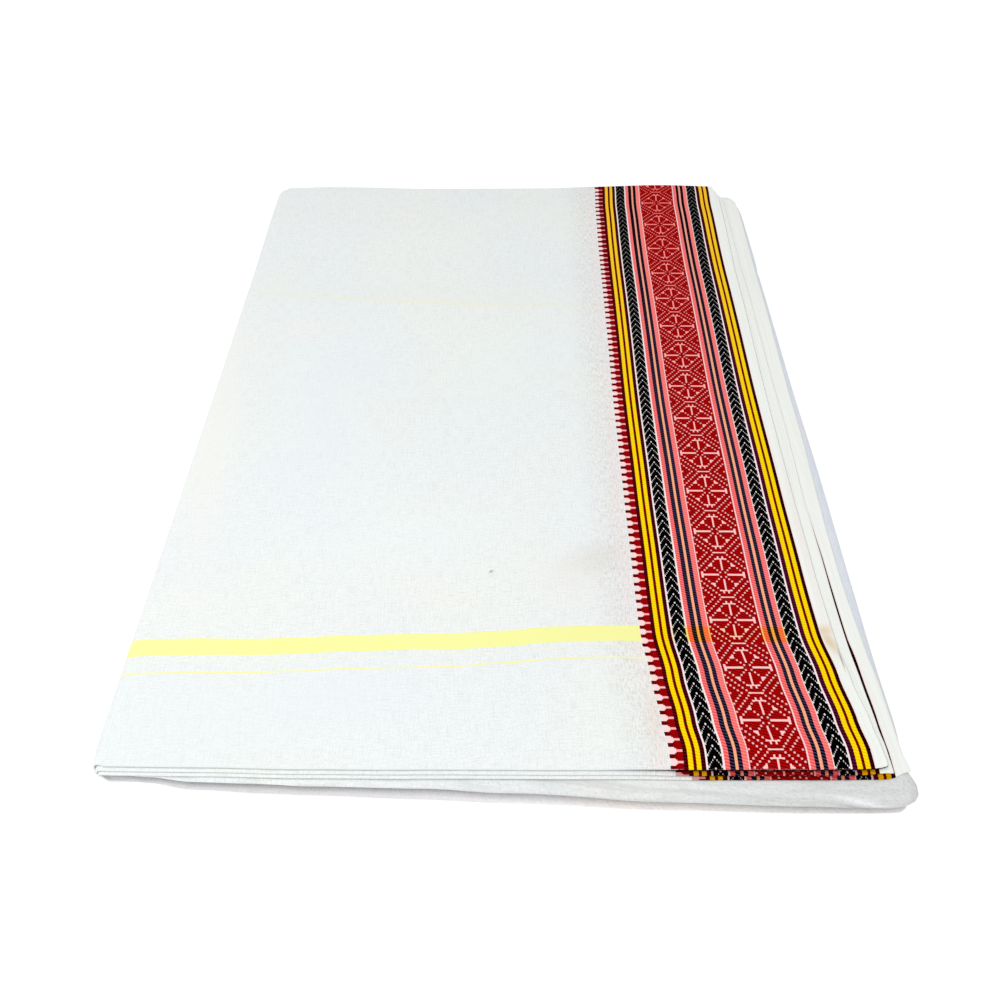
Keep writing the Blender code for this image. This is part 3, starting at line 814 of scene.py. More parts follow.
def pile_piece(name, pile):
    """A closed pile of layers: two filled panels and a rounded edge between them."""
    across, backwards = np.meshgrid(spaced(WIDTH, PILE_FACE), spaced(LENGTH, PILE_FACE))
    x, y = pile_outline(pile, across, backwards, 0)
    x_out, y_out = pile_outline(pile, across, backwards, 1)
    low, high = pile_heights(pile, x, y)
    rows, columns = across.shape
    rim = rim_of(rows, columns)
    at = (rim[:, 0], rim[:, 1])
    base, nose = np.stack([x[at], y[at]], axis=-1), np.stack([x_out[at], y_out[at]], axis=-1)
    outwards = unit(nose - base)
    rings, ring_cloth = [], []
    travelled = np.zeros(len(rim))
    previous = np.concatenate([base, low[at][:, None]], axis=1)
    for turn in np.linspace(-math.pi / 2, math.pi / 2, PILE_STEPS + 1)[1:-1]:
        height = mix(low[at], high[at], (1.0 + math.sin(turn)) / 2)
        power = FULLNESS + (SIDE_SLOPE * np.clip(outwards[:, 0], 0.0, 1.0) if turn > 0.0 else 0.0)
        out = math.cos(turn) ** power * np.ones(len(rim))
        push = pushed(pile, base, outwards, height) * np.minimum(1.0, PUSH_START * out)
        place = base + (nose - base) * out[:, None] + outwards * push[:, None]
        ring = np.concatenate([place, height[:, None]], axis=1)
        travelled = travelled + np.linalg.norm(ring - previous, axis=1)
        previous = ring
        rings.append(ring)
        ring_cloth.append((base + outwards * travelled[:, None]) * MILLI)
    panels = [np.stack([x, y, z], axis=-1).reshape(-1, 3) for z in (low, high)]
    flat = np.stack([x, y], axis=-1).reshape(-1, 2) * MILLI
    count, around = rows * columns, len(rim)
    rim_spots = rim[:, 0] * columns + rim[:, 1]
    loops = [2 * count + step * around + np.arange(around) for step in range(PILE_STEPS - 1)]
    loops = [rim_spots, *loops, count + rim_spots]
    faces = grid_faces(rows, columns, 0, True) + grid_faces(rows, columns, count, False)
    for lower, upper in zip(loops, loops[1:]):
        quads = np.stack([lower, np.roll(lower, -1), np.roll(upper, -1), upper], axis=-1)
        faces += [tuple(quad) for quad in quads.tolist()]
    points, cloth = np.concatenate([*panels, *rings]), np.concatenate([flat, flat, *ring_cloth])
    print(name, len(faces), "faces")
    return make_mesh(name, points, cloth, faces), (float(np.ptp(x_out)), float(np.ptp(y_out)))


rolled_layers, roll_size = pile_piece("rolled_layers", ROLL)
bottom_layers, bottom_size = pile_piece("bottom_layers", BOTTOM)

# %% [markdown]
# ## Maths for a weave
# A woven pattern is arithmetic: which stripe, which row, which thread. A shader can work that out at every
# point from the cloth's coordinates, so the pattern stays sharp at any distance and needs no picture. Each
# step of a sum takes one maths node. To write sums as sums, a small class holds a node's output, and adds the
# next node when it meets a plus, a minus or a "less than".

# %% Numbers that a shader works out
def dyed(red, green, blue):
    """A yarn's colour, given as it looks on a screen, from 0 to 255."""
    shares = [value / 255 for value in (red, green, blue)]
    return tuple(s / 12.92 if s <= 0.04 else ((s + 0.055) / 1.055) ** 2.4 for s in shares) + (1.0,)


def feed(socket, value):
    """Links another node's output to a socket, or sets a plain value."""
    if isinstance(value, Number):
        value.tree.links.new(value.output, socket)
    else:
        socket.default_value = value


def maths(operation, *values):
    """One maths node, and the number that it gives."""
    tree = next(value.tree for value in values if isinstance(value, Number))
    made = tree.nodes.new("ShaderNodeMath")
    made.operation = operation
    for socket, value in zip(made.inputs, values):
        feed(socket, value)
    return Number(tree, made.outputs["Value"])


class Number:
    """A node's output, which can be added, compared and so on as a plain number can."""

    def __init__(self, tree, output):
        self.tree, self.output = tree, output

    def __add__(self, other):
        return maths("ADD", self, other)

    def __radd__(self, other):
        return maths("ADD", other, self)

    def __sub__(self, other):
        return maths("SUBTRACT", self, other)

    def __rsub__(self, other):
        return maths("SUBTRACT", other, self)

    def __mul__(self, other):
        return maths("MULTIPLY", self, other)

    def __truediv__(self, other):
        return maths("DIVIDE", self, other)

    def __pow__(self, other):
        return maths("POWER", self, other)

    def __rpow__(self, other):
        return maths("POWER", other, self)

    def __abs__(self):
        return maths("ABSOLUTE", self)

    def __gt__(self, other):
        return maths("GREATER_THAN", self, other)

    def __lt__(self, other):
        return maths("LESS_THAN", self, other)


def between(value, low, high):
    """1 between two limits and 0 outside them."""
    return (value > low) * (value < high)


# %% A loom for each material
class Loom:
    """One cotton material, with the cloth's millimetres and short names for its nodes."""

    def __init__(self, name):
        self.material = bpy.data.materials.new(name)
        self.material.use_nodes = True
        self.tree = self.material.node_tree
        cloth = self.tree.nodes.new("ShaderNodeUVMap")
        cloth.uv_map = "cloth"
        parts = self.tree.nodes.new("ShaderNodeSeparateXYZ")
        self.tree.links.new(cloth.outputs["UV"], parts.inputs["Vector"])
        self.across = Number(self.tree, parts.outputs["X"])
        self.along = Number(self.tree, parts.outputs["Y"])

    def over(self, below, above, share, blend="MIX"):
        """One colour laid over another."""
        made = self.tree.nodes.new("ShaderNodeMix")
        made.data_type, made.blend_type = "RGBA", blend
        for socket, value in zip((made.inputs[0], made.inputs[6], made.inputs[7]), (share, below, above)):
            feed(socket, value)
        return Number(self.tree, made.outputs[2])

    def times(self, below, above, share):
        """One colour multiplied by another, as a thin dye is."""
        return self.over(below, above, share, "MULTIPLY")

    def soft(self, value, low, high):
        """Rises gently from 0 at low to 1 at high."""
        made = self.tree.nodes.new("ShaderNodeMapRange")
        made.interpolation_type = "SMOOTHSTEP"
        feed(made.inputs["Value"], value)
        feed(made.inputs["From Min"], low)
        feed(made.inputs["From Max"], high)
        return Number(self.tree, made.outputs["Result"])

    def noise(self, scale_across, scale_along, detail=2.0, along=None):
        """Even noise over the cloth, stretched as asked, from 0 to 1."""
        place = self.tree.nodes.new("ShaderNodeCombineXYZ")
        feed(place.inputs["X"], self.across * scale_across)
        feed(place.inputs["Y"], (along or self.along) * scale_along)
        made = self.tree.nodes.new("ShaderNodeTexNoise")
        made.inputs["Scale"].default_value = 1.0
        made.inputs["Detail"].default_value = detail
        self.tree.links.new(place.outputs["Vector"], made.inputs["Vector"])
        return Number(self.tree, made.outputs["Fac"])

    def patches(self, scale_across, scale_along, detail, low, high):
        """Noise made into patches: 0 below the lower limit, 1 above the higher one."""
        return self.soft(self.noise(scale_across, scale_along, detail), low, high)


# %% [markdown]
# ## Plain white cotton
# The field is a thin plain weave of hand-loom cotton. Its yarns are uneven, so fine lines run both ways, and
# the white drifts a little between cool and warm from washing and starch. Stretched noise gives the uneven
# yarns, and two sine waves give the threads themselves, in the bump alone.

# %% White ground and thread relief
COOL_WHITE = dyed(237, 241, 242)
GREEN_WHITE = dyed(239, 243, 240)
WARM_WHITE = dyed(243, 242, 236)
# grey of the uneven yarns and cords; on the roll's front also the painted shade of small folds
YARN_GREY_AND_FOLD_SHADE = dyed(203, 208, 207)
WARM_STRENGTH = 0.7
# Each patch of noise has: scale across, scale along, detail, starts at, full at
GREEN_PATCHES = (0.014, 0.011, 1.0, 0.38, 0.62)
WARM_PATCHES = (0.009, 0.016, 2.0, 0.54, 0.72)
UNEVEN_YARNS = (
    # a patch's five numbers, strength
    (0.16, 1.90, 3.0, 0.45, 0.75, 0.34),  # thick weft
    (2.10, 0.12, 3.0, 0.45, 0.75, 0.34),  # thick warp
    (1.15, 1.05, 2.0, 0.38, 0.72, 0.30),  # grain
)
WARP_PITCH, WEFT_PITCH = 0.42, 0.47  # millimetres from thread to thread
SLUBS = (0.08, 1.6, 3.0)  # scale across, scale along, detail
SLUB_HEIGHT = 2.2  # against 1 for a thread
RELIEF_DEPTH, RELIEF_STRENGTH = 0.00012, 0.30
SHINE, NAP_ROUGHNESS = 0.015, 0.6


def white_ground(loom):
    """The white of the cloth, with uneven yarns both ways."""
    ground = loom.over(COOL_WHITE, GREEN_WHITE, loom.patches(*GREEN_PATCHES))
    ground = loom.over(ground, WARM_WHITE, loom.patches(*WARM_PATCHES) * WARM_STRENGTH)
    for *patch, strength in UNEVEN_YARNS:
        ground = loom.over(ground, YARN_GREY_AND_FOLD_SHADE, loom.patches(*patch) * strength)
    return ground


def thread_relief(loom):
    """Height of the plain weave, from about -1 to 1."""
    warp = maths("SINE", loom.across * (2 * math.pi / WARP_PITCH))
    weft = maths("SINE", loom.along * (2 * math.pi / WEFT_PITCH))
    return warp * weft + loom.noise(*SLUBS) * SLUB_HEIGHT


def finish_cotton(loom, colour, height, roughness, sheen):
    """Sets the cotton's colour, soft nap and relief on its shader."""
    shader = loom.tree.nodes["Principled BSDF"]
    feed(shader.inputs["Base Color"], colour)
    shader.inputs["Roughness"].default_value = roughness
    shader.inputs["Specular IOR Level"].default_value = SHINE
    shader.inputs["Sheen Weight"].default_value = sheen
    shader.inputs["Sheen Roughness"].default_value = NAP_ROUGHNESS
    relief = loom.tree.nodes.new("ShaderNodeBump")
    relief.inputs["Strength"].default_value = RELIEF_STRENGTH
    relief.inputs["Distance"].default_value = RELIEF_DEPTH
    feed(relief.inputs["Height"], height)
    loom.tree.links.new(relief.outputs["Normal"], shader.inputs["Normal"])
    return loom.material


# %% [markdown]
# ## The border's stripes
# A striped border is warp yarns of different colours, set up side by side. Each stripe starts at a distance
# from the teeth and runs on until the next one starts, so the shader lays them over each other in order.
# Most stripes are woven in twill, which lets specks of a second colour through in slanting lines.

# %% Stripes, from the teeth to the selvedge
PINK_WHITE = dyed(249, 211, 210)
MAROON = dyed(32, 0, 4)
YELLOW = dyed(252, 219, 8)
RED_BROWN = dyed(116, 2, 0)
BLACK = dyed(0, 0, 0)
WHITE = dyed(246, 238, 236)
EDGE_PINK = dyed(250, 196, 196)
SALMON = dyed(234, 84, 80)
PALE_SALMON = dyed(240, 104, 99)
NAVY = dyed(0, 0, 6)
PEACH = dyed(250, 174, 130)
RED = dyed(130, 0, 0)
DARK_MAROON = dyed(14, 0, 0)
SELVEDGE_WHITE = dyed(241, 243, 238)
LILAC_SPECK = dyed(92, 82, 128)
PLUM_SPECK = dyed(122, 18, 78)
WINE_SPECK = dyed(122, 4, 24)
GOLD_SPECK = dyed(226, 168, 0)
ROSE_SPECK = dyed(255, 166, 168)
BRIGHT_RED_SPECK = dyed(196, 10, 12)
STRIPES = (
    # starts at, yarn, colour that shows through, how much
    (4.95, MAROON, WINE_SPECK, 0.80),
    (6.68, YELLOW, GOLD_SPECK, 0.55),
    (8.62, RED_BROWN, MAROON, 0.8),
    (9.88, YELLOW, GOLD_SPECK, 0.55),
    (11.68, MAROON, WINE_SPECK, 0.50),
    (13.50, WHITE, EDGE_PINK, 0.5),
    (14.25, BLACK, BLACK, 0.0),
    (20.00, WHITE, EDGE_PINK, 0.7),
    (20.80, SALMON, ROSE_SPECK, 0.50),
    (22.72, NAVY, LILAC_SPECK, 0.50),
    (24.78, PEACH, SALMON, 0.30),
    (25.95, NAVY, LILAC_SPECK, 0.50),
    (27.75, PALE_SALMON, ROSE_SPECK, 0.50),
    (30.00, EDGE_PINK, WHITE, 0.6),
    (30.45, RED, BRIGHT_RED_SPECK, 0.8),
    (53.10, EDGE_PINK, WHITE, 0.6),
    (53.75, SALMON, ROSE_SPECK, 0.50),
    (55.75, NAVY, LILAC_SPECK, 0.50),
    (57.40, PEACH, SALMON, 0.30),
    (58.68, NAVY, LILAC_SPECK, 0.50),
    (60.52, PALE_SALMON, ROSE_SPECK, 0.50),
    (62.75, WHITE, EDGE_PINK, 0.7),
    (63.08, BLACK, BLACK, 0.0),
    (69.02, WHITE, EDGE_PINK, 0.5),
    (69.78, MAROON, PLUM_SPECK, 0.75),
    (71.76, YELLOW, GOLD_SPECK, 0.55),
    (73.78, RED_BROWN, MAROON, 0.8),
    (74.95, YELLOW, GOLD_SPECK, 0.55),
    (76.88, DARK_MAROON, WINE_SPECK, 0.30),
)
BORDER_END = 78.55
FAR_YARNS = {  # yarns that look deeper towards the far end, and their colour there
    YELLOW: dyed(255, 200, 48),
    RED_BROWN: dyed(84, 0, 0),
    SALMON: dyed(240, 104, 100),
    PALE_SALMON: dyed(246, 120, 112),
    PEACH: dyed(232, 162, 144),
    LILAC_SPECK: dyed(56, 8, 12),
    PLUM_SPECK: dyed(100, 16, 26),
}
TWILL_PITCH = 1.45
TWILL_LEAN = 0.35  # how much the twill lines lean
TWILL_SHARE = 0.64  # the share of the pitch that the main yarn takes
YARN_TURNS = (90.0, 400.0)  # along: where the yarns start to look deeper, and are deepest


def striped(loom, colour):
    """The border's warp stripes laid over the white ground."""
    slant = maths("FRACT", (loom.across * TWILL_LEAN + loom.along) / TWILL_PITCH)
    specks = slant > TWILL_SHARE
    deeper = loom.soft(loom.along, *YARN_TURNS)
    turned = {yarn: loom.over(yarn, far_yarn, deeper) for yarn, far_yarn in FAR_YARNS.items()}
    for start, yarn, speck, share in STRIPES:
        woven = loom.over(turned.get(yarn, yarn), turned.get(speck, speck), specks * share)
        colour = loom.over(colour, woven, loom.across > start)
    return colour


# %% [markdown]
# ## Teeth and arrows
# Along the inner edge the red weft is turned back in steps, which leaves a row of small teeth. Both black
# bands carry white arrows, one behind the other. Each repeats every five millimetres, so the remainder after
# dividing by the pitch says where in one tooth or arrow a point lies.

# %% Teeth at the inner edge
TOOTH_PITCH = 5.08
TOOTH_START = 1.0
TOOTH_END = 4.95
TOOTH_TIP = -0.30
TOOTH_NECK = 1.95  # where the tip broadens into the body
TOOTH_SHOULDER = 2.55
STRIP_STRENGTH = 0.9  # of the pink-white that the teeth stand on
TIP_HALF, NECK_HALF, BODY_HALF = 0.185, 0.295, 0.400  # half heights, as shares of the pitch
TIP_RED = dyed(100, 0, 0)
BODY_RED = dyed(148, 0, 2)
FAR_BODY_RED = dyed(106, 0, 6)
GAP_PINK = dyed(248, 180, 184)
FAR_GAP_PINK = dyed(232, 140, 150)


def toothed(loom, colour):
    """Red teeth on a pink-white strip: a narrow dark tip, then a broader body."""
    place = abs(maths("FRACT", (loom.along - TOOTH_START) / TOOTH_PITCH) - 0.5)
    deeper = loom.soft(loom.along, *YARN_TURNS)
    body = loom.over(BODY_RED, FAR_BODY_RED, deeper)
    gaps = loom.over(GAP_PINK, FAR_GAP_PINK, deeper)
    colour = loom.over(colour, PINK_WHITE, between(loom.across, 0.0, TOOTH_END) * STRIP_STRENGTH)
    colour = loom.over(colour, gaps, between(loom.across, TOOTH_SHOULDER, TOOTH_END))
    for start, half, yarn in (
        (TOOTH_TIP, TIP_HALF, TIP_RED),
        (TOOTH_NECK, NECK_HALF, RED),
        (TOOTH_SHOULDER, BODY_HALF, body),
    ):
        colour = loom.over(colour, yarn, (place < half) * between(loom.across, start, TOOTH_END))
    return colour


# %% Arrows on the black bands
ARROW_PITCH = 5.06
ARROW_START = -0.4
ARROW_BANDS = ((14.35, 19.90), (63.15, 68.95))
ARROW_CELL = 0.84  # from one float of an arm to the next
ARROW_STEP = 1.32  # how far back each float lies
ARROW_ROUNDING = 2.5  # 2 would make each float an ellipse, and a large number a rectangle
FAR_ARROW_GREY = dyed(150, 146, 147)
ARROW_FLOATS = (
    # float's place from the middle out, half its width, half its length, strength
    (0.0, 0.34, 0.52, 0.90),
    (1.0, 0.17, 0.44, 0.72),
    (1.7, 0.16, 0.38, 0.72),
    (2.4, 0.17, 0.42, 0.72),
    (3.1, 0.34, 0.56, 0.90),
)


def arrowed(loom, colour):
    """White arrows, their points towards the far end, on both black bands."""
    yarn = loom.over(WHITE, FAR_ARROW_GREY, loom.soft(loom.along, *YARN_TURNS))
    for low, high in ARROW_BANDS:
        inside = between(loom.across, low, high)
        off_middle = abs(loom.across - (low + high) / 2)
        for place, half_width, half_length, strength in ARROW_FLOATS:
            turn = maths("FRACT", (loom.along + (ARROW_START + place * ARROW_STEP)) / ARROW_PITCH) - 0.5
            wide = abs(off_middle - place * ARROW_CELL) / half_width
            long = abs(turn * ARROW_PITCH) / half_length
            spot = wide ** ARROW_ROUNDING + long ** ARROW_ROUNDING < 1.0
            colour = loom.over(colour, yarn, spot * inside * strength)
    return colour


# %% [markdown]
# ## The red band's flowers
# The flowers are woven from a chart, as any weaver would plan them: a grid where each mark is one float of
# white yarn over the red. The flower is the same both ways, so a quarter of the chart is enough, with its
# middle at the top left. Each row becomes one whole number whose binary digits are its marks. The shader picks
# the row's number, and dividing it by a power of two brings the wanted digit to the end.

# %% Chart of one flower, a quarter of it
FLOWER_CHART = (
    "..........",
    ".o........",
    "..o....o..",
    "...o..o..o",
    "....oo..o.",
    "....o..o..",
    "...o..o..o",
    "..o..o..o.",
    "....o..o..",
    "...o..o...",
    "..o..o...o",
)
LONG_FLOATS = (
    # column from, column to, row from, row to
    (1.65, 8.00, -0.40, 0.40),  # the bar
    (7.75, 8.60, -1.35, 1.35),  # its end
    (-0.33, 0.33, 2.00, 7.10),  # the stem
    (-0.50, 2.45, 6.86, 7.34),  # the head on the stem
    (0.62, 1.25, 7.00, 8.30),  # its two horns
    (-0.50, 2.70, 9.76, 10.50),  # the cap between two flowers
    (3.70, 5.35, 3.70, 4.32),  # the leaf's broad end
    (3.72, 4.80, 4.20, 4.75),  # its middle
    (3.70, 4.32, 4.60, 5.30),  # its tip
)
FLOWER_PITCH = 27.01
FLOWER_START = -45.8  # a flower's middle, from the end stripe
FLOWER_MIDDLE = 41.55  # across
FLOWER_BAND = (30.60, 53.00)  # across: the red band's two edges
CHART_COLUMN = 1.175  # millimetres from one column of the chart to the next
CHART_ROWS = len(FLOWER_CHART) - 1
DOT_HALF = 0.33  # half a dot's width, in columns, and half its length, in rows
NEARLY = 0.25  # two whole numbers closer than this are the same
DOT_STRENGTH = 0.84
FLOAT_PINK = dyed(255, 200, 198)
FAR_FLOAT_PINK = dyed(252, 134, 130)
FLOAT_TURNS = (0.0, 400.0)  # along: where the white floats start to take the red's colour, and take most


def chart_number(row):
    """A chart row as a whole number: its first mark is the last binary digit."""
    return float(sum(2 ** place for place, mark in enumerate(row) if mark == "o"))


def flowered(loom, colour):
    """White flowers on the red band; also gives where the white floats lie."""
    off = abs(loom.across - FLOWER_MIDDLE) / CHART_COLUMN
    turns = (loom.along - FLOWER_START) / FLOWER_PITCH
    rows_out = abs((turns - maths("ROUND", turns)) * (2.0 * CHART_ROWS))
    column, row = maths("ROUND", off), maths("ROUND", rows_out)
    number = 0.0
    for place, marks in enumerate(FLOWER_CHART):
        number = maths("COMPARE", row, float(place), NEARLY) * chart_number(marks) + number
    digit = maths("FRACT", maths("FLOOR", number / 2.0 ** column) / 2.0)
    dot = (abs(off - column) < DOT_HALF) * (abs(rows_out - row) < DOT_HALF)
    floats = (digit > NEARLY) * dot * DOT_STRENGTH
    for column_from, column_to, row_from, row_to in LONG_FLOATS:
        held = between(off, column_from, column_to) * between(rows_out, row_from, row_to)
        floats = maths("MAXIMUM", floats, held)
    floats = floats * between(loom.across, *FLOWER_BAND)
    pink = loom.over(FLOAT_PINK, FAR_FLOAT_PINK, loom.soft(loom.along, *FLOAT_TURNS))
    return loom.over(colour, pink, floats), floats


# %% [markdown]
# ## The end stripe, the blush and the selvedge
# Near the cut end a band of yellow weft crosses the whole cloth, with one thin yellow line before it. Where it
# meets the border, the pink warps turn orange. Beside the teeth a faint blush of loose red dye has run into
# the white, and past the last stripe comes the white selvedge.

# %% The yellow end stripe
END_HALF = 4.45
THIN_LINE, FAINT_LINE = -13.5, -7.6  # along: the thin yellow line, and one that hardly shows
THIN_HALF = 0.42
FAINT_STRENGTH = 0.22
END_YELLOW = dyed(244, 244, 152)
THIN_YELLOW = dyed(246, 242, 160)
ORANGE_DYE = (1.0, 0.88, 0.10, 1.0)
DYED_STRETCHES = (
    # across from, across to, how strongly the yellow weft dyes it
    (19.9, 30.6, 0.85),
    (53.0, 63.2, 0.85),
    (4.95, 19.9, 0.28),
    (30.6, 53.0, 0.28),
)
WOBBLE, WOBBLE_WIDTH = (0.05, 0.5), 0.9  # the wobble's scales, and its width in millimetres
STRIPE_GRAIN, GRAIN_STRETCH = (0.3, 2.4, 2.0), (0.35, 0.65)
YELLOW_LEAST, YELLOW_MORE, THIN_STRENGTH = 0.84, 0.14, 0.9  # how strongly the yellow covers the white


def end_striped(loom, colour):
    """Yellow weft over the white, and as a dye over the border's pinks."""
    along = (loom.noise(*WOBBLE) - 0.5) * WOBBLE_WIDTH + loom.along
    band = abs(along) < END_HALF
    line = abs(along - THIN_LINE) < THIN_HALF
    faint = (abs(along - FAINT_LINE) < THIN_HALF) * FAINT_STRENGTH
    field = loom.across < 0.0
    grain = loom.soft(loom.noise(*STRIPE_GRAIN, along), *GRAIN_STRETCH)
    colour = loom.over(colour, END_YELLOW, band * field * (grain * YELLOW_MORE + YELLOW_LEAST))
    colour = loom.over(colour, THIN_YELLOW, maths("MAXIMUM", line, faint) * field * THIN_STRENGTH)
    for low, high, strength in DYED_STRETCHES:
        colour = loom.times(colour, ORANGE_DYE, band * between(loom.across, low, high) * strength)
    return colour


# %% Blush beside the teeth, and the selvedge
BLUSH = dyed(240, 226, 228)
BLUSH_RISE, BLUSH_FALL = (-7.0, -5.0), (-1.8, -0.6)  # across
BLUSH_LINES = (1.7, 0.02, 1.0, 0.40, 0.62)
BLUSH_LEAST, BLUSH_MORE = 0.12, 0.45  # strength beside the lines, and how much more in them
HAIR_BEIGE = dyed(206, 196, 188)
HAIR_STRETCH = (-24.0, -7.0)  # across: where the hairs start to show, and where they show in full
WARP_HAIRS, WARP_HAIR_STRENGTH = (2.3, 0.30, 2.0, 0.47, 0.66), 0.58
WEFT_HAIRS, WEFT_HAIR_STRENGTH = (0.35, 2.2, 2.0, 0.50, 0.68), 0.36
SELVEDGE_PINK_TO, SELVEDGE_PINK_STRENGTH = 0.5, 0.45
CORDS, CORDS_FROM, CORD_STRENGTH = (1.4, 0.012, 1.0, 0.46, 0.66), 0.6, 0.16


def blushed(loom, ground):
    """Loose dye in the white beside the teeth, in fine lengthwise lines, and beige hairs both ways."""
    share = loom.soft(loom.across, *BLUSH_RISE) * (1.0 - loom.soft(loom.across, *BLUSH_FALL))
    share = share * (loom.patches(*BLUSH_LINES) * BLUSH_MORE + BLUSH_LEAST)
    ground = loom.over(ground, BLUSH, share)
    near_teeth = loom.soft(loom.across, *HAIR_STRETCH) * (loom.across < 0.0)
    hairs = loom.patches(*WARP_HAIRS) * WARP_HAIR_STRENGTH + loom.patches(*WEFT_HAIRS) * WEFT_HAIR_STRENGTH
    return loom.over(ground, HAIR_BEIGE, hairs * near_teeth)


def selvedge(loom, colour):
    """The white edge past the last stripe, first pinkish, with a few firm cords."""
    past = loom.across - BORDER_END
    colour = loom.over(colour, SELVEDGE_WHITE, past > 0.0)
    colour = loom.over(colour, PINK_WHITE, between(past, 0.0, SELVEDGE_PINK_TO) * SELVEDGE_PINK_STRENGTH)
    return loom.over(colour, YARN_GREY_AND_FOLD_SHADE, loom.patches(*CORDS) * (past > CORDS_FROM) * CORD_STRENGTH)


# %% [markdown]
# ## Marks of use, and painted shade on the roll
# A white cloth that has been handled, folded and tied isn't evenly white. A shop's fold leaves a thin yellowed
# line across it, a damp hand leaves a grey patch, and starch lies thicker in one place than in another. Each
# mark here is a soft oval at a place on the cloth, broken up by noise so that its edge isn't drawn. On the
# roll's front the same ovals paint the shade of its grooves, and one painted highlight.

# %% Soft marks on the cloth
MARKS = (
    # across, along, half_length, half_width, heading, colour, strength
    (-112.0, 254.5, 118.0, 1.6, -6.8, dyed(238, 234, 208), 0.65),
    (-112.0, 262.0, 130.0, 9.0, -6.8, dyed(232, 234, 226), 0.30),
    (-158.0, 162.0, 78.0, 34.0, 99.0, dyed(226, 235, 242), 0.42),
    (-215.0, 150.0, 110.0, 12.0, 96.0, dyed(238, 238, 233), 0.60),
    (-60.0, 190.0, 46.0, 30.0, 60.0, dyed(232, 242, 236), 0.30),
    (-104.0, 60.0, 54.0, 24.0, 12.0, dyed(232, 241, 244), 0.30),
    (-17.5, 44.0, 15.0, 9.0, 20.0, dyed(214, 208, 200), 0.42),
    (-30.0, 30.0, 22.0, 14.0, -30.0, dyed(236, 230, 226), 0.30),
    (-65.7, 39.5, 1.0, 0.6, 30.0, dyed(96, 100, 104), 0.75),
    (-3.5, -46.0, 15.0, 3.2, 84.0, dyed(226, 212, 198), 0.50),
    (-4.5, 90.0, 70.0, 3.0, 88.0, dyed(232, 222, 224), 0.35),
    (81.2, 3.0, 4.0, 2.4, 20.0, dyed(228, 204, 168), 0.95),
    (81.6, -4.0, 7.0, 2.6, 100.0, dyed(222, 202, 166), 0.95),
    (82.8, -13.0, 5.5, 0.40, 84.0, dyed(120, 132, 104), 0.90),
    (83.0, 60.0, 60.0, 2.4, 90.0, dyed(236, 228, 222), 0.60),
    (-131.0, -29.0, 40.0, 12.0, 4.0, dyed(233, 236, 244), 0.30),
    (-175.0, -40.0, 70.0, 34.0, 4.0, dyed(224, 230, 234), 0.34),
)
ROLL_GROOVE_SHADE_AND_HIGHLIGHT = (
    # painted shade along the roll's grooves, and one painted highlight; the same columns, where along is the
    # way up the roll's front
    (70.0, -234.0, 60.0, 0.9, 0.5, dyed(184, 182, 186), 0.42),
    (10.0, -232.0, 40.0, 0.7, -1.0, dyed(188, 186, 190), 0.50),
    (145.0, -229.0, 9.0, 0.9, 14.0, dyed(150, 148, 152), 0.85),
    # painted highlight above the groove
    (147.0, -232.5, 10.0, 1.5, 12.0, dyed(253, 253, 255), 0.85),
    (128.0, -226.5, 18.0, 0.8, -2.0, dyed(170, 166, 170), 0.60),
)

CLOUD = (0.16, 0.16, 3.0)
CLOUD_LEAST, CLOUD_MORE = 0.4, 1.2  # a mark's strength in the cloud's gaps, and how much is added at most


def marked(loom, colour, marks):
    """Soft marks, each an oval with a broken edge."""
    cloud = loom.noise(*CLOUD) * CLOUD_MORE + CLOUD_LEAST
    for centre_across, centre_along, half_length, half_width, heading, tint, strength in marks:
        cosine, sine = math.cos(math.radians(heading)), math.sin(math.radians(heading))
        right, ahead = loom.across - centre_across, loom.along - centre_along
        lengthwise = right * (cosine / half_length) + ahead * (sine / half_length)
        sideways = right * (-sine / half_width) + ahead * (cosine / half_width)
        oval = maths("EXPONENT", (lengthwise * lengthwise + sideways * sideways) * -1.0)
        share = maths("MINIMUM", oval * cloud * strength, 1.0)
        colour = loom.over(colour, tint, share)
    return colour


# %% [markdown]
# ## Two finishes
# The outer leaf and the two leaves below it get the bordered cotton, and the piles the plain one. In both, the
# order matters: the white comes first, then what is woven into it, and last what happened to the cloth later,
# with painted shade and painted light laid on as well.

# %% Bordered cotton
RIM_PAINTED_SHADE = dyed(176, 182, 184)  # painted shade: the thin rim of a leaf, seen from its side, greyed as if it lay in shade
RIM_SHADE_STRENGTH = 0.8
CUT_SHADE = dyed(36, 2, 12)  # painted shadow: the dark gap below the cut end, painted onto the cut end's rim
CUT_STRETCH = (-30.0, 4.0)  # across: where the painted shadow line at the cut end starts, and where it is full
UNDER_SHADE = dyed(206, 178, 180)  # the dyed yarns of the leaves below lie in each other's shade
FLOAT_HEIGHT = 2.0  # how far a white float stands up, against 1 for a thread
TAN_FROM = 0.4  # past the last stripe: from here on the marks lie on top of the selvedge
BORDER_ROUGHNESS, PLAIN_ROUGHNESS, PLAIN_NAP = 0.88, 0.92, 0.015


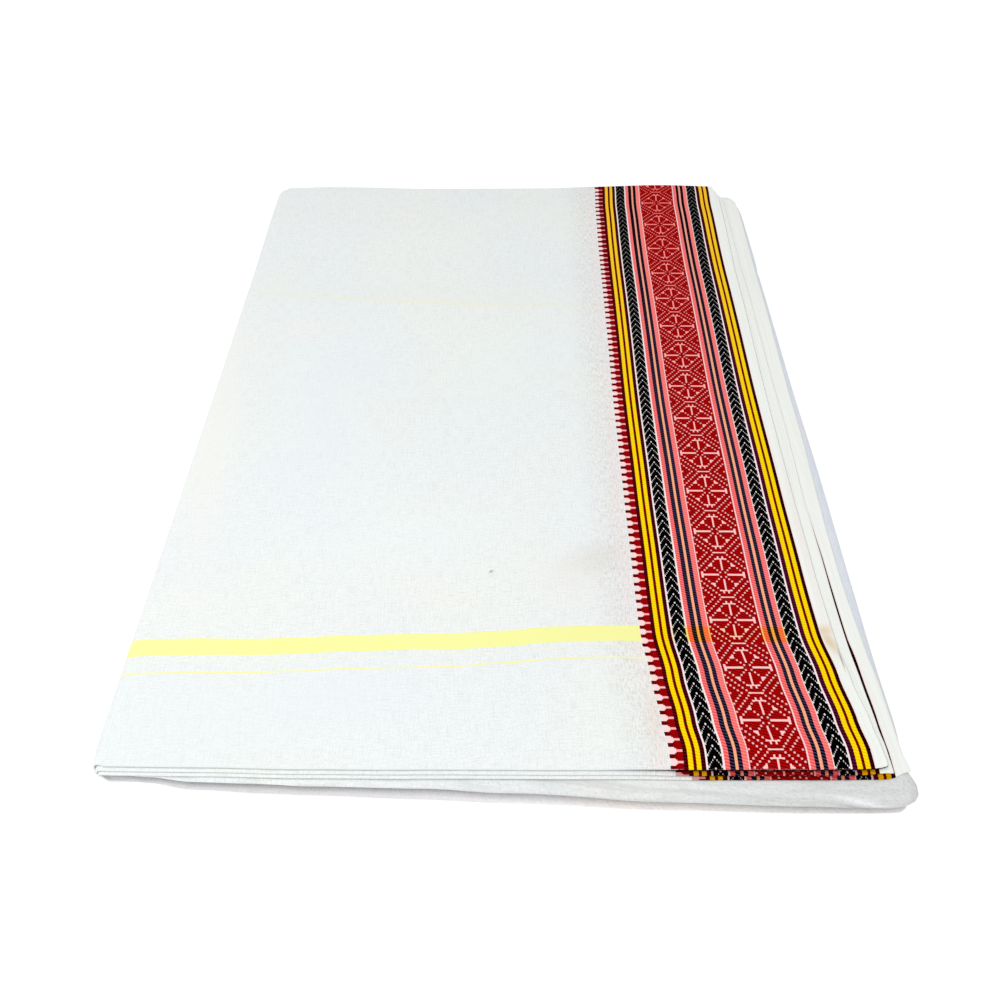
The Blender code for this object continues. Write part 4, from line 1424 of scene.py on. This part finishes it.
def bordered_cotton(name, is_outer):
    """White cotton with its woven border and painted shade on the leaves' rims; the outer leaf has the end
    stripe, the marks and a painted shadow line at its cut end too.
    """
    loom = Loom(name)
    ground = white_ground(loom)
    if is_outer:
        ground = marked(loom, ground, MARKS)
    colour = striped(loom, blushed(loom, ground))
    colour = arrowed(loom, toothed(loom, colour))
    colour, floats = flowered(loom, colour)
    colour = selvedge(loom, colour)
    if not is_outer:
        colour = loom.times(colour, UNDER_SHADE, between(loom.across, TOOTH_TIP, BORDER_END))
    # painted shade: each leaf's right rim is greyed
    colour = loom.over(colour, RIM_PAINTED_SHADE, (loom.across > RIM_BEYOND / 2) * RIM_SHADE_STRENGTH)
    if is_outer:
        # painted shadow of the gap below the cut end, on its rim
        cut = (loom.along < -RIM_BEYOND / 2) * loom.soft(loom.across, *CUT_STRETCH)
        colour = end_striped(loom, loom.over(colour, CUT_SHADE, cut))
        colour = loom.over(colour, marked(loom, colour, MARKS), loom.across > BORDER_END + TAN_FROM)
    height = floats * FLOAT_HEIGHT + thread_relief(loom)
    return finish_cotton(loom, colour, height, BORDER_ROUGHNESS, sheen=0.0)


# %% Plain cotton
# painted shade on the roll's front, darker towards the right
ROLL_FRONT_SHADE = dyed(238, 235, 237)
HANDLED_GRAIN = dyed(150, 147, 150)
FRONT_SHADE_FIRST, FIRST_STRENGTH = (-90.0, 45.0), 0.30  # across: where the painted shade on the roll's front starts and is even
SHADE_AND_GRAIN_RIGHT, LAST_STRENGTH = (60.0, 150.0), 0.70  # across: where the roll front's painted shade gets darker and the grain stronger, and where they are most
FRONT_FADE = (-214.0, -196.0)  # along: it fades out behind the front
# bottom layers: pinkish grey at the left, and at the right a pink tint above white, painted light on the shaded
# layers
BOTTOM_LEFT_TINT = dyed(240, 234, 236)
BOTTOM_PINK_LIGHT = (1.12, 1.04, 1.05, 1.0)
BOTTOM_STRETCH = (-90.0, 75.0)  # across: from the left tint to the pink painted light
SIDE_COOL_SHADE = dyed(243, 245, 255)
SIDE_STRETCH = (155.0, 158.0)  # across: where the right side's cool painted shade starts, and where it is full
# painted shade of small folds on the roll's front
SMALL_FOLD_SHADE, FOLD_SHADE_STRENGTH = (0.055, 0.42, 2.0, 0.44, 0.66), 0.42
GRAINS = (0.95, 1.05, 3.0, 0.50, 0.66)
ROLL_GRAIN, BOTTOM_GRAIN, GRAIN_MORE = 0.12, 0.02, 0.10  # strengths at the left, and how much more at the right


def plain_cotton(name, is_roll):
    """White cotton with no border: painted shade on the roll's front and in its grooves, one painted highlight,
    and cool painted shade on its right side; the bottom layers pinkish, with painted light at the right.
    """
    loom = Loom(name)
    colour = white_ground(loom)
    behind = loom.soft(loom.along, *FRONT_FADE)
    front = 1.0 - behind
    last = loom.soft(loom.across, *SHADE_AND_GRAIN_RIGHT)
    if is_roll:
        first = loom.soft(loom.across, *FRONT_SHADE_FIRST) * FIRST_STRENGTH
        # painted shade on the roll's front
        colour = loom.times(colour, ROLL_FRONT_SHADE, (last * LAST_STRENGTH + first) * front)
        # cool painted shade on the roll's right side
        colour = loom.times(colour, SIDE_COOL_SHADE, behind * loom.soft(loom.across, *SIDE_STRETCH))
        # painted groove shade and a painted highlight
        colour = marked(loom, colour, ROLL_GROOVE_SHADE_AND_HIGHLIGHT)
        # painted shade of small folds
        colour = loom.over(colour, YARN_GREY_AND_FOLD_SHADE, loom.patches(*SMALL_FOLD_SHADE) * front * FOLD_SHADE_STRENGTH)
    else:
        # pink cast, with painted light at the right
        tint = loom.over(BOTTOM_LEFT_TINT, BOTTOM_PINK_LIGHT, loom.soft(loom.across, *BOTTOM_STRETCH))
        colour = loom.times(colour, tint, front)
    grain = loom.patches(*GRAINS) * (last * GRAIN_MORE + (ROLL_GRAIN if is_roll else BOTTOM_GRAIN))
    colour = loom.over(colour, HANDLED_GRAIN, grain * front)
    return finish_cotton(loom, colour, thread_relief(loom), PLAIN_ROUGHNESS, PLAIN_NAP)


border_finish = bordered_cotton("bordered_cotton_weave", True)
leaf_finish = bordered_cotton("under_leaf_weave", False)
roll_finish = plain_cotton("plain_cotton_weave", True)
bottom_finish = plain_cotton("bottom_cotton_weave", False)
print("border finish:", len(border_finish.node_tree.nodes), "nodes")

# %% [markdown]
# ## Tie the cloth to the part
# Every sheet rides on the part's one body and stands for the plain solid that it covers. Each also says what
# size it was cut to, measured over its own surface.

# %% Ride and replace
second_leaf, second_size = leaf_pieces["second_leaf_fold"]
third_leaf, third_size = leaf_pieces["third_leaf_fold"]
for piece, finish, node, slot, size, under in (
    (bordered_leaf, border_finish, "outer_leaf", "bordered_cotton", cut_size(outer_middle), "second_leaf_fold"),
    (second_leaf, leaf_finish, "second_leaf", "second_leaf_cotton", second_size, "third_leaf_fold"),
    (third_leaf, leaf_finish, "third_leaf", "third_leaf_cotton", third_size, "rolled_layers"),
    (rolled_layers, roll_finish, "folded_core", "rolled_cotton", roll_size, "bottom_layers"),
    (bottom_layers, bottom_finish, "folded_core", "rolled_cotton", bottom_size, "bordered_leaf"),
):
    piece.data.materials.append(finish)
    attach(piece, "root")
    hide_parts(node)
    print(piece.name, "cut", [round(side, 3) for side in size], "m")
